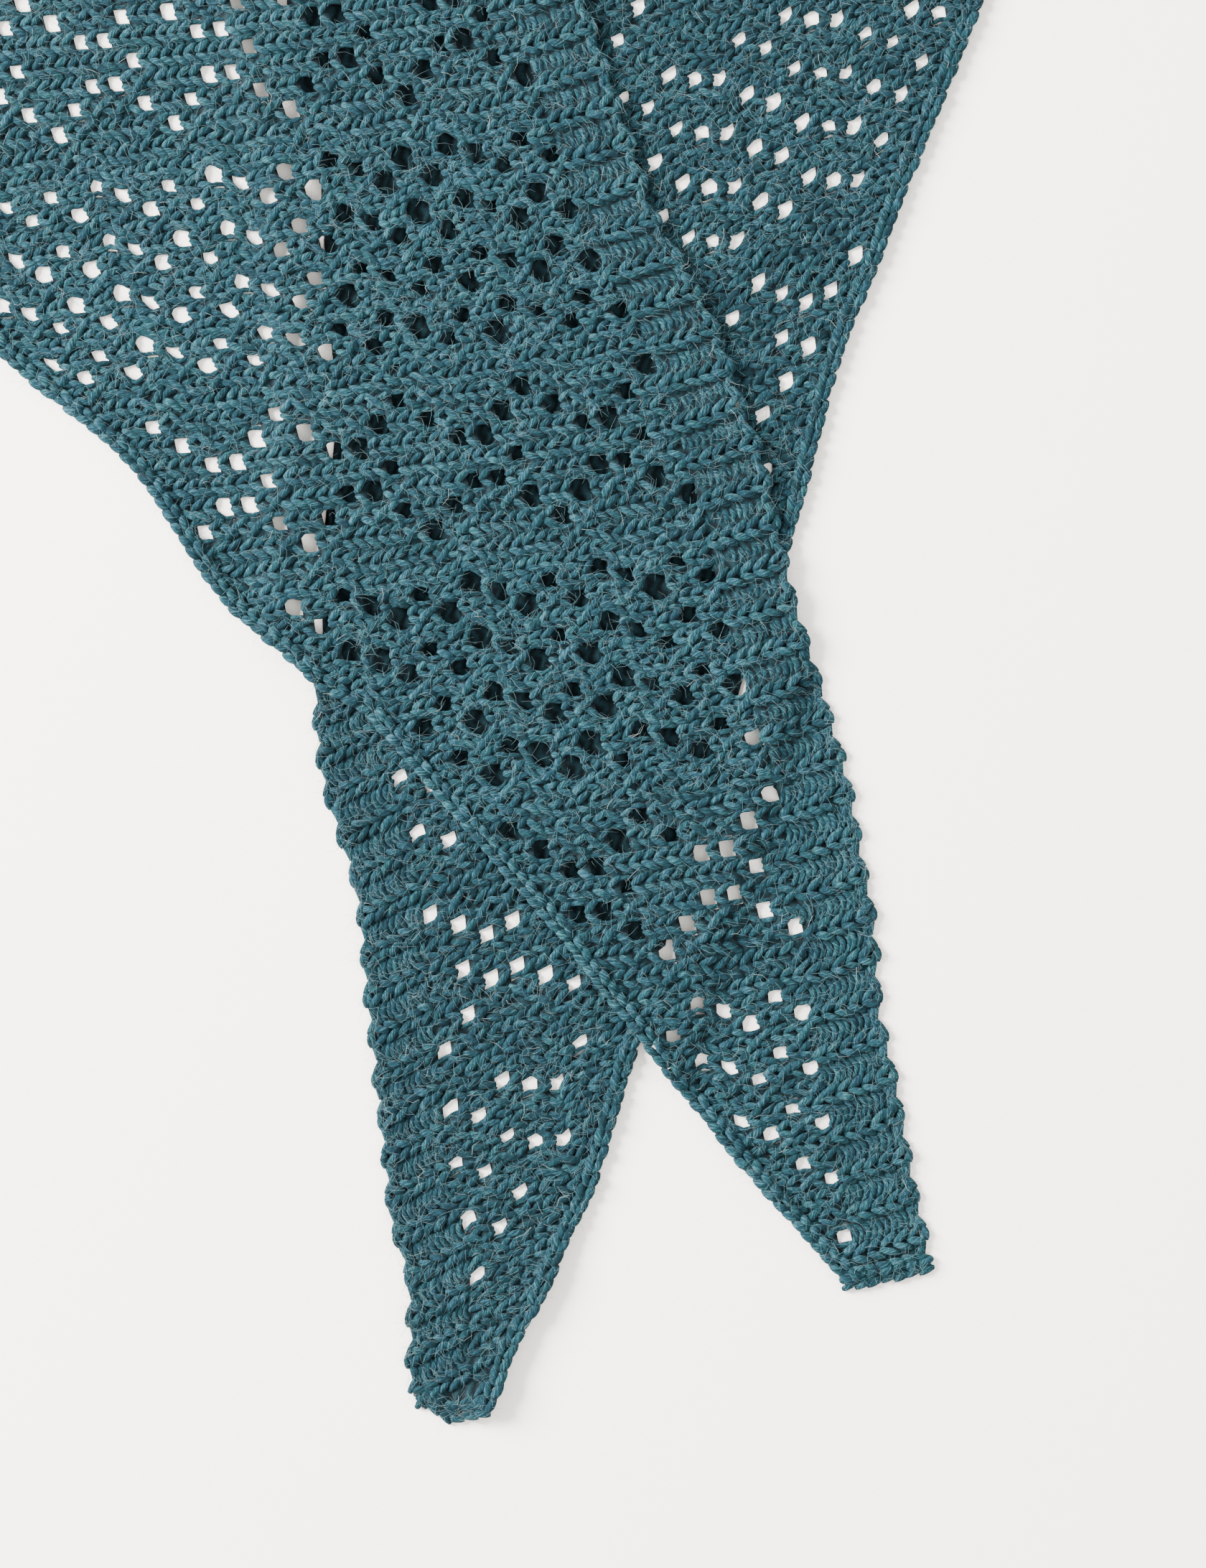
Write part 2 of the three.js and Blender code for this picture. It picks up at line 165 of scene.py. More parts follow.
@dataclass(frozen=True)
class Twist:
    """How a length of yarn swells in its middle, and how unevenly it lies."""

    swell: float = 0.7
    end_radius: float = 0.7
    middle_radius: float = 0.3
    stray: float = 0.2
    uneven_radius: float = 0.07
    uneven_height: float = 0.15
    underside: float = 0.62
    clear: float = 0.05


CLOTH = Cloth()
LAYING = Laying()
OPENING = Opening()
TWIST = Twist()
CLOTH_CELLS = Insets(1.5, -1.0)
CLOTH_INSETS = Insets(0.8, 2.2)
YARN_INSETS = Insets(0.9, -1.4)
STITCH_CENTRES = Insets(3.5, -4.0)

MID_NECK = np.array([-22.0, 497.5])
UNDER_START = np.array([-17.0, 452.0])
OVER_TURN = np.array([-313.0, 118.0])
UNDER_TURN = np.array([313.0, 187.0])
BACK_POINT = np.array([-16.0, 12.0])
OVER_TIP = {"neck": np.array([231.5, -445.0]), "outer": np.array([202.0, -451.0])}
UNDER_TIP = {"neck": np.array([52.0, -490.0]), "outer": np.array([79.0, -494.0])}
UNDER_END = np.array([64.0, -497.5])

OVER_NECK_WAVE = [
    (0, 0), (300, -2), (520, -1), (585, 2), (645, 14), (690, 17),
    (740, 15), (800, 17), (840, 14), (895, 6), (960, 2), (977, 0),
]
OVER_OUTER_WAVE = [
    (0, 0), (45, 0), (84, -1.5), (125, -4.5), (166, -7.5), (258, -9),
    (284, -2.5), (321, 1.5), (380, -6), (441, 1.5), (600, 0), (768, 0),
]
UNDER_NECK_WAVE = [
    (0, 0), (250, 4), (476, 12), (521, 5), (591, 5), (666, 15),
    (716, 19), (776, 8.5), (876, 6), (906, 1), (941, 3), (967, 0),
]
UNDER_OUTER_WAVE = [
    (0, 0), (16, 0), (55, 5), (87, 8), (135, 6.5), (315, 0),
    (390, -4.5), (432, -2.5), (519, 1.5), (720, 0),
]


def smooth(t: np.ndarray) -> np.ndarray:
    """Eases a value from 0 to 1."""
    t = np.clip(t, 0.0, 1.0)
    return t * t * (3.0 - 2.0 * t)


@dataclass(frozen=True)
class Edge:
    """A straight chord bowed sideways by a wave of (distance along, distance out) pairs."""

    start: np.ndarray
    end: np.ndarray
    wave: list[tuple[float, float]]
    side: int

    @property
    def length(self) -> float:
        """Length of the chord."""
        return float(np.linalg.norm(self.end - self.start))

    def at(self, along: np.ndarray, extra: np.ndarray | float = 0.0) -> np.ndarray:
        """Points of the edge.

        Args:
            along: Distances from the start.
            extra: Further distances outwards.

        Returns:
            Plan points, one row for each distance.
        """
        direction = (self.end - self.start) / self.length
        outward = np.array([direction[1], -direction[0]]) * self.side
        places = np.array([row[0] for row in self.wave], float)
        bows = np.array([row[1] for row in self.wave], float)
        index = np.clip(np.searchsorted(places, along), 1, len(places) - 1)
        gap = places[index] - places[index - 1]
        share = smooth((along - places[index - 1]) / gap)
        out = bows[index - 1] + (bows[index] - bows[index - 1]) * share + extra
        return self.start + along[:, None] * direction + out[:, None] * outward

    def samples(self, step: float = 10.0) -> np.ndarray:
        """Evenly spaced points of the whole edge."""
        count = math.ceil(self.length / step)
        return self.at(np.linspace(0.0, self.length, count + 1))


@dataclass(frozen=True)
class Wale:
    """How lines of stitches leave the neck edge, and where the lace starts on this tail."""

    side: int
    near: float
    far: float
    reach: float
    mesh_at: float
    first_row: float
    lean: float
    eyelet: tuple[float, float]
    open: float = 0.84
    shut: float = 0.0

    def offset(self, distance: np.ndarray) -> np.ndarray:
        """Sideways and upward run of a line of stitches at distances from the edge."""
        bend = (self.near - self.far) * self.reach * (1.0 - np.exp(-distance / self.reach))
        return np.stack([self.side * distance, self.far * distance + bend], axis=1)


OVER_NECK = Edge(MID_NECK, OVER_TIP["neck"], OVER_NECK_WAVE, -1)
OVER_OUTER = Edge(OVER_TIP["outer"], OVER_TURN, OVER_OUTER_WAVE, -1)
UNDER_NECK = Edge(UNDER_START, UNDER_TIP["neck"], UNDER_NECK_WAVE, 1)
UNDER_OUTER = Edge(UNDER_TIP["outer"], UNDER_TURN, UNDER_OUTER_WAVE, 1)
FLAT = [(0, 0), (50, 0)]
OVER_END = (Edge(OVER_TIP["neck"], OVER_TIP["outer"], FLAT, -1),)
UNDER_ENDS = (
    Edge(UNDER_TIP["neck"], UNDER_END, FLAT, 1),
    Edge(UNDER_END, UNDER_TIP["outer"], FLAT, 1),
)
OVER_WALE = Wale(-1, -0.45, -0.1, 30.0, 745.0, 27.3, -0.25, (2.7, 3.4))
UNDER_WALE = Wale(1, 0.51, 0.51, 80.0, 578.0, 24.5, 0.3, (2.8, 4.5), 0.62, 175.0)
OVER_OUTLINE = np.concatenate([OVER_NECK.samples(), OVER_OUTER.samples()])
UNDER_OUTLINE = np.concatenate([UNDER_NECK.samples(), UNDER_END[None], UNDER_OUTER.samples()])


def outline_distance(points: np.ndarray, outline: np.ndarray) -> tuple[np.ndarray, np.ndarray]:
    """Distances from a closed outline, negative inside it.

    Args:
        points: Plan points.
        outline: Corners of the outline in order.

    Returns:
        The signed distances, and the nearest points of the outline.
    """
    ends = np.roll(outline, -1, axis=0)
    spans = ends - outline
    lengths = (spans**2).sum(axis=1)
    signed = np.empty(len(points))
    nearest = np.empty((len(points), 2))
    for first in range(0, len(points), BATCH):
        some = points[first : first + BATCH, None, :]
        share = np.clip(((some - outline) * spans).sum(axis=2) / lengths, 0.0, 1.0)
        feet = outline + share[..., None] * spans
        squares = ((some - feet) ** 2).sum(axis=2)
        best = squares.argmin(axis=1)
        rows = np.arange(len(best))
        crosses = (outline[:, 1] > some[..., 1]) != (ends[:, 1] > some[..., 1])
        rise = np.where(spans[:, 1] == 0.0, 1.0, spans[:, 1])
        where = outline[:, 0] + (some[..., 1] - outline[:, 1]) * spans[:, 0] / rise
        inside = (crosses & (some[..., 0] < where)).sum(axis=1) % 2 == 1
        distance = np.sqrt(squares[rows, best])
        signed[first : first + BATCH] = np.where(inside, -distance, distance)
        nearest[first : first + BATCH] = feet[rows, best]
    return signed, nearest


def line_distance(points: np.ndarray, start: np.ndarray, end: np.ndarray) -> np.ndarray:
    """Distances of plan points from an endless straight line.

    Args:
        points: Plan points.
        start: One point of the line.
        end: Another point of the line.

    Returns:
        One distance for each point.
    """
    direction = (end - start) / np.linalg.norm(end - start)
    gap = points - start
    return np.abs(gap[:, 0] * direction[1] - gap[:, 1] * direction[0])


def row_key(points: np.ndarray) -> np.ndarray:
    """Plan heights of points above the back's lower edge, which rises to both sides.

    Args:
        points: Plan points.

    Returns:
        One height for each point, negative below the edge.
    """
    over = (OVER_TURN[1] - BACK_POINT[1]) / (OVER_TURN[0] - BACK_POINT[0])
    under = (UNDER_TURN[1] - BACK_POINT[1]) / (UNDER_TURN[0] - BACK_POINT[0])
    slope = np.where(points[:, 0] < BACK_POINT[0], over, under)
    return points[:, 1] - BACK_POINT[1] - slope * (points[:, 0] - BACK_POINT[0])


def settled(distance: np.ndarray, start: float, end: float) -> np.ndarray:
    """1 before start, 0 past end, and eased between them."""
    return smooth((end - distance) / (end - start))


def fold_share(points: np.ndarray, start: np.ndarray, turn: np.ndarray) -> np.ndarray:
    """How much of its height the cloth keeps beside a fold, where it rounds to the floor.

    Args:
        points: Plan points.
        start: Upper end of the fold.
        turn: Lower end of the fold.

    Returns:
        One share for each point.
    """
    from_fold = line_distance(points, start, turn)
    share = np.interp(from_fold, LAYING.fold_distances, LAYING.fold_shares)
    return np.where(row_key(points) > LAYING.fold_end, share, 1.0)


def under_low(points: np.ndarray) -> np.ndarray:
    """Underside of the under tail: on the back, on the floor, and curled up by its tip.

    Args:
        points: Plan points.

    Returns:
        One height for each point.
    """
    step_down = settled(-row_key(points), *LAYING.under_off_back)
    on_back = (CLOTH.wall + CLOTH.layer_gap) * step_down
    length = LAYING.curl_length
    from_tip = np.clip(points[:, 1] - UNDER_END[1], 0.0, length) / length
    beside = line_distance(points, UNDER_TIP["outer"], UNDER_OUTER.at(np.array([length]))[0])
    share = np.interp(beside, LAYING.curl_distances, LAYING.curl_shares)
    return on_back + LAYING.curl_rise * share * np.sqrt(1.0 - from_tip)


def over_low(points: np.ndarray) -> np.ndarray:
    """Underside of the over tail: on the back, on the under tail, and on the floor.

    Args:
        points: Plan points.

    Returns:
        One height for each point.
    """
    step_down = settled(-row_key(points), *LAYING.over_off_back)
    on_back = (CLOTH.wall + CLOTH.layer_gap) * step_down
    side = outline_distance(points, UNDER_OUTLINE)[0]
    step_down = settled(side, *LAYING.over_off_tail)
    on_tail = (CLOTH.wall + CLOTH.relief + CLOTH.layer_gap) * step_down
    return on_back + on_tail


@dataclass(frozen=True)
class Chart:
    """One repeat of the lace: a mesh panel, and a chain of diamonds.

    Columns are counted from the middle of a mesh panel. A lace row comes every second row,
    and both patterns start again after five of them.
    """

    columns: int = 22
    mesh_columns: int = 13
    mesh_stitch: float = 6.5
    plain_stitch: float = 7.856
    mesh: tuple[int, ...] = (-4, -1, 2, 5)
    mesh_steps: tuple[int, ...] = (0, -1, 0, -1, -1)
    sway: tuple[float, ...] = (0.25, 0.05, 0.25, 0.4, -0.35)
    sway_end: float = 8.0
    panels: tuple[int, int] = (-6, 4)
    all_columns: tuple[int, int] = (-130, 70)
    diamond_centre: int = 11
    diamond_size: float = 0.85
    centre_size: float = 0.45
    diamonds: tuple[tuple[int, ...], ...] = ((-3, 3), (-2, 0, 2), (-1, 1), (-1, 1), (-2, 2))
    pitch_at: tuple[float, float] = (540.0, 740.0)
    pitch: tuple[float, float] = (8.1, 9.0)

    def across(self, column: np.ndarray, row: np.ndarray, hand: int) -> np.ndarray:
        """Distances of places from the middle of the first mesh panel, along the neck edge.

        Args:
            column: Columns, in parts of a column too.
            row: Rows, in parts of a row too.
            hand: 1 or -1, which way the mesh sways.

        Returns:
            The distances in millimetres.
        """
        half = self.mesh_columns / 2.0
        panel = np.floor((column + half) / self.columns)
        within = column - panel * self.columns
        wide = np.maximum(within - half, 0.0)
        panel_width = half * 2.0 * self.mesh_stitch
        repeat = panel_width + (self.columns - 2.0 * half) * self.plain_stitch
        rest = panel * repeat + (within - wide) * self.mesh_stitch + wide * self.plain_stitch
        from_mesh = np.minimum(np.abs(within), self.columns - within)
        lace_rows = np.arange(0.0, 2.0 * len(self.sway) + 1.0, 2.0)
        sway = np.interp(np.mod(row, lace_rows[-1]), lace_rows, [*self.sway, self.sway[0]])
        swayed = hand * sway * np.clip(self.sway_end - from_mesh, 0.0, 1.0)
        return rest + swayed * self.mesh_stitch

    def eyelets(self, lace_row: int, hand: int) -> list[tuple[int, float, float]]:
        """Eyelets of one repeat on a lace row.

        Args:
            lace_row: Number of the lace row.
            hand: 1 or -1, which way the mesh shifts.

        Returns:
            The column of each, the side that its decrease leans to, and its size.
        """
        step = self.mesh_steps[lace_row % len(self.mesh_steps)]
        found = [(hand * (column + step), 1.0, 1.0) for column in self.mesh]
        for offset in self.diamonds[lace_row % len(self.diamonds)]:
            lean = -1.0 if offset < 0 else 1.0
            size = self.diamond_size if offset else self.centre_size
            found.append((self.diamond_centre + offset, lean, size))
        return found


@dataclass
class YarnPaths:
    """Short lengths of yarn, each a line of points with its radius and tone."""

    points: list[np.ndarray] = field(default_factory=list)
    radii: list[np.ndarray] = field(default_factory=list)
    tones: list[np.ndarray] = field(default_factory=list)

    def add(self, points: np.ndarray, radii: np.ndarray, tones: np.ndarray) -> None:
        """Adds lengths of yarn.

        Args:
            points: Array of lengths by points by 3.
            radii: Array of lengths by points.
            tones: One tone for each length.
        """
        self.points.append(points)
        self.radii.append(radii)
        self.tones.append(tones)

    def parts(self, most: int) -> Iterator["YarnPaths"]:
        """Splits the lengths into groups.

        Args:
            most: The largest number of lengths in a group.

        Returns:
            The groups in order.
        """
        some, room = YarnPaths(), most
        for points, radii, tones in zip(self.points, self.radii, self.tones):
            first = 0
            while first < len(points):
                last = min(first + room, len(points))
                some.add(points[first:last], radii[first:last], tones[first:last])
                room -= last - first
                first = last
                if room == 0:
                    yield some
                    some, room = YarnPaths(), most
        if some.points:
            yield some

    def skeleton(self, name: str) -> bpy.types.Object:
        """Makes a mesh of edges, in metres, with the radius and tone of each point.

        Args:
            name: Name of the mesh.

        Returns:
            The object that holds the mesh.
        """
        counts = [(block.shape[0], block.shape[1]) for block in self.points]
        flat = np.concatenate([block.reshape(-1, 3) for block in self.points])
        radii = np.concatenate([block.reshape(-1) for block in self.radii])
        tones = np.concatenate(
            [np.repeat(tone, size[1]) for tone, size in zip(self.tones, counts)]
        )
        edges = []
        base = 0
        for lengths, size in counts:
            starts = base + np.arange(lengths)[:, None] * size + np.arange(size - 1)[None, :]
            edges.append(np.stack([starts.ravel(), starts.ravel() + 1], axis=1))
            base += lengths * size
        mesh = bpy.data.meshes.new(name)
        mesh.vertices.add(len(flat))
        mesh.vertices.foreach_set("co", (flat * MM).ravel())
        joined = np.concatenate(edges)
        mesh.edges.add(len(joined))
        mesh.edges.foreach_set("vertices", joined.ravel())
        for label, values in (("radius", radii * MM), ("tone", tones)):
            mesh.attributes.new(label, "FLOAT", "POINT").data.foreach_set("value", values)
        mesh.update()
        skeleton = bpy.data.objects.new(name, mesh)
        bpy.context.scene.collection.objects.link(skeleton)
        return skeleton


class Nodes:
    """Builds a node tree."""

    def __init__(self, tree: bpy.types.NodeTree) -> None:
        """Keeps the tree that the nodes are made in."""
        self.tree = tree

    def add(self, kind: str, inputs: dict | None = None, **settings: object) -> bpy.types.Node:
        """Makes a node.

        Args:
            kind: Blender's name of the node type.
            inputs: Values or sockets for its inputs, by name or number.
            **settings: The node's own settings.

        Returns:
            The new node.
        """
        node = self.tree.nodes.new(kind)
        for label, value in settings.items():
            setattr(node, label, value)
        for key, value in (inputs or {}).items():
            socket = node.inputs[key]
            if isinstance(value, bpy.types.NodeSocket):
                self.tree.links.new(value, socket)
            else:
                socket.default_value = value
        return node

    def link(self, source: bpy.types.NodeSocket, target: bpy.types.NodeSocket) -> None:
        """Joins two sockets."""
        self.tree.links.new(source, target)

    def calc(self, operation: str, *values: float | bpy.types.NodeSocket) -> bpy.types.NodeSocket:
        """Makes a node that calculates a number.

        Args:
            operation: Blender's name of the operation.
            *values: What it works on, numbers or sockets.

        Returns:
            The result.
        """
        return self.add("ShaderNodeMath", dict(enumerate(values)), operation=operation).outputs[0]

    def noise(
        self, place: bpy.types.NodeSocket, scale: float, detail: float, roughness: float = 0.5
    ) -> bpy.types.NodeSocket:
        """Makes a noise texture.

        Args:
            place: Where it is looked up.
            scale: Its scale.
            detail: Its number of finer layers.
            roughness: How strong the finer layers are.

        Returns:
            The noise, a number.
        """
        inputs = {"Vector": place, "Scale": scale, "Detail": detail, "Roughness": roughness}
        return self.add("ShaderNodeTexNoise", inputs).outputs["Fac"]

    def ramp(
        self, value: bpy.types.NodeSocket, *stops: tuple[float, tuple[float, float, float]]
    ) -> bpy.types.NodeSocket:
        """Makes a ramp of colours.

        Args:
            value: What picks the colour.
            *stops: Positions and their colours, from the lowest to the highest.

        Returns:
            The colour.
        """
        node = self.add("ShaderNodeValToRGB", {"Fac": value})
        elements = node.color_ramp.elements
        for element, (position, colour) in zip(elements, (stops[0], stops[-1])):
            element.position, element.color = position, (*colour, 1.0)
        for position, colour in stops[1:-1]:
            elements.new(position).color = (*colour, 1.0)
        return node.outputs["Color"]

    def grained(self, height: bpy.types.NodeSocket, depth: float) -> bpy.types.NodeSocket:
        """Makes a bump.

        Args:
            height: The height of each point, a number.
            depth: The depth of the relief in metres.

        Returns:
            The bent normal.
        """
        inputs = {"Strength": 1.0, "Distance": depth, "Height": height}
        return self.add("ShaderNodeBump", inputs).outputs["Normal"]


def shaded(name: str, **settings: object) -> tuple[bpy.types.Material, bpy.types.Node]:
    """Makes a material with its shader set.

    Args:
        name: Name of the material.
        **settings: Values of the shader's inputs, by name with an underscore for each space.

    Returns:
        The material and its shader.
    """
    material = bpy.data.materials.new(name)
    material.use_nodes = True
    shader = material.node_tree.nodes["Principled BSDF"]
    for label, value in settings.items():
        shader.inputs[label.replace("_", " ")].default_value = value
    return material, shader


@dataclass(frozen=True)
class WoolFinish:
    """Heathered teal wool: twisted streaks of dark, mid, light and pale fibres."""

    name: str
    dark: tuple[float, float, float] = (0.0022, 0.0105, 0.0145)
    mid: tuple[float, float, float] = (0.0045, 0.0205, 0.0275)
    light: tuple[float, float, float] = (0.0085, 0.0365, 0.047)
    pale: tuple[float, float, float] = (0.034, 0.088, 0.103)
    stops: tuple[float, ...] = (0.50, 0.58, 0.66, 0.76)
    greener: tuple[float, float, float] = (0.94, 1.03, 0.98)
    bluer: tuple[float, float, float] = (1.02, 0.98, 1.06)
    twist: float = 700.0
    streak: tuple[float, float, float] = (380.0, 2000.0, 2000.0)
    patch_scale: float = 130.0
    hue_scale: float = 210.0
    weight: float = 0.1
    depth: float = 0.0006

    def material(self) -> bpy.types.Material:
        """Makes the yarn's material, which reads the grain and tone of each point.

        Returns:
            The material.
        """
        material, shader = shaded(
            self.name,
            Roughness=0.9,
            Specular_IOR_Level=0.08,
            Sheen_Weight=0.05,
            Sheen_Roughness=0.45,
            Sheen_Tint=(0.55, 0.80, 0.85, 1.0),
        )
        nodes = Nodes(material.node_tree)
        grain = nodes.add("ShaderNodeAttribute", attribute_name="grain")
        tone = nodes.add("ShaderNodeAttribute", attribute_name="tone")
        along = nodes.add("ShaderNodeSeparateXYZ", {0: grain.outputs["Vector"]})
        angle = nodes.calc("MULTIPLY", along.outputs["X"], self.twist)
        turned = nodes.add(
            "ShaderNodeVectorRotate",
            {"Vector": grain.outputs["Vector"], "Angle": angle},
            rotation_type="X_AXIS",
        )
        stretched = nodes.add(
            "ShaderNodeVectorMath",
            {0: turned.outputs["Vector"], 1: self.streak},
            operation="MULTIPLY",
        )
        streaks = nodes.noise(stretched.outputs["Vector"], 1.0, 4.0, 0.7)
        place = nodes.add("ShaderNodeTexCoord").outputs["Object"]
        patches = nodes.noise(place, self.patch_scale, 3.0, 0.6)
        # The tone adds a random brightness to each length, and on the under tail painted shade.
        shifted = nodes.calc("MULTIPLY_ADD", tone.outputs["Fac"], self.weight, streaks)
        patched = nodes.calc("MULTIPLY_ADD", patches, self.weight, shifted)
        tones = zip(self.stops, (self.dark, self.mid, self.light, self.pale))
        colour = nodes.ramp(patched, *tones)
        hue = nodes.noise(place, self.hue_scale, 2.0)
        bluish = nodes.add(
            "ShaderNodeMapRange", {"Value": hue, "From Min": 0.35, "From Max": 0.65}
        )
        tint = nodes.add(
            "ShaderNodeMix", {"Factor": bluish.outputs[0]}, data_type="RGBA", blend_type="MIX"
        )
        tint.inputs["A"].default_value = (*self.greener, 1.0)
        tint.inputs["B"].default_value = (*self.bluer, 1.0)
        coloured = nodes.add(
            "ShaderNodeMix", {"Factor": 1.0}, data_type="RGBA", blend_type="MULTIPLY"
        )
        nodes.link(colour, coloured.inputs["A"])
        nodes.link(tint.outputs["Result"], coloured.inputs["B"])
        nodes.link(coloured.outputs["Result"], shader.inputs["Base Color"])
        nodes.link(nodes.grained(streaks, self.depth), shader.inputs["Normal"])
        return material


@dataclass(frozen=True)
class ShadedBackingFinish:
    """The inside of the knitting, with the bumps of its wrong side in relief; its colour is
    painted shade, darkest in the furrows.
    """

    name: str
    # Both colours are darkened with painted shade; deep, in the furrows between the bumps, is the
    # darker one.
    deep: tuple[float, float, float] = (0.001, 0.005, 0.007)
    raised: tuple[float, float, float] = (0.006, 0.025, 0.032)
    bow: float = 0.2
    bump_weight: float = 0.35
    fibre_scale: float = 1500.0
    depth: float = 0.001

    def material(self) -> bpy.types.Material:
        """Makes the cloth's material, which follows its own map of stitches and rows.

        Returns:
            The material.
        """
        material, shader = shaded(
            self.name,
            Roughness=0.95,
            Specular_IOR_Level=0.1,
            Sheen_Weight=0.05,
            Sheen_Roughness=0.5,
        )
        nodes = Nodes(material.node_tree)
        chart = nodes.add("ShaderNodeUVMap", uv_map="UVMap")
        cells = nodes.add("ShaderNodeSeparateXYZ", {0: chart.outputs["UV"]})
        wave = nodes.calc("SINE", nodes.calc("MULTIPLY", cells.outputs["X"], math.tau))
        bent = nodes.calc("MULTIPLY_ADD", wave, self.bow, cells.outputs["Y"])
        bumps = nodes.calc("COSINE", nodes.calc("MULTIPLY", bent, math.tau))
        place = nodes.add("ShaderNodeTexCoord").outputs["Object"]
        fibres = nodes.noise(place, self.fibre_scale, 3.0, 0.7)
        height = nodes.calc("MULTIPLY_ADD", bumps, self.bump_weight, fibres)
        # Painted shade: the colour darkens from the bumps down into the furrows between them.
        colour = nodes.ramp(height, (0.2, self.deep), (0.95, self.raised))
        nodes.link(colour, shader.inputs["Base Color"])
        nodes.link(nodes.grained(height, self.depth), shader.inputs["Normal"])
        return material


@dataclass(frozen=True)
class FibreFinish:
    """Loose fibres that stand off the yarn."""

    name: str
    colour: tuple[float, float, float] = (0.045, 0.115, 0.130)
    stray: tuple[float, float, float] = (0.24, 0.28, 0.27)
    darkest: float = 0.4
    usual_to: float = 0.98
    stray_from: float = 0.995

    def material(self) -> bpy.types.Material:
        """Makes a soft material from each fibre's tone, with a few whitish strays.

        Returns:
            The material.
        """
        material, shader = shaded(self.name, Roughness=0.7, Sheen_Weight=0.1)
        nodes = Nodes(material.node_tree)
        tone = nodes.add("ShaderNodeAttribute", attribute_name="tone")
        darkest = tuple(self.darkest * part for part in self.colour)
        usual, stray = (self.usual_to, self.colour), (self.stray_from, self.stray)
        colour = nodes.ramp(tone.outputs["Fac"], (0.0, darkest), usual, stray)
        nodes.link(colour, shader.inputs["Base Color"])
        return material


@dataclass(frozen=True)
class FloorFinish:
    """A plain off-white surface."""

    colour: tuple[float, float, float] = (0.9, 0.865, 0.8)

    def material(self) -> bpy.types.Material:
        """Makes the floor's material.

        Returns:
            The material.
        """
        colour = (*self.colour, 1.0)
        settings = {"Base_Color": colour, "Roughness": 0.85, "Specular_IOR_Level": 0.2}
        return shaded("floor_white", **settings)[0]


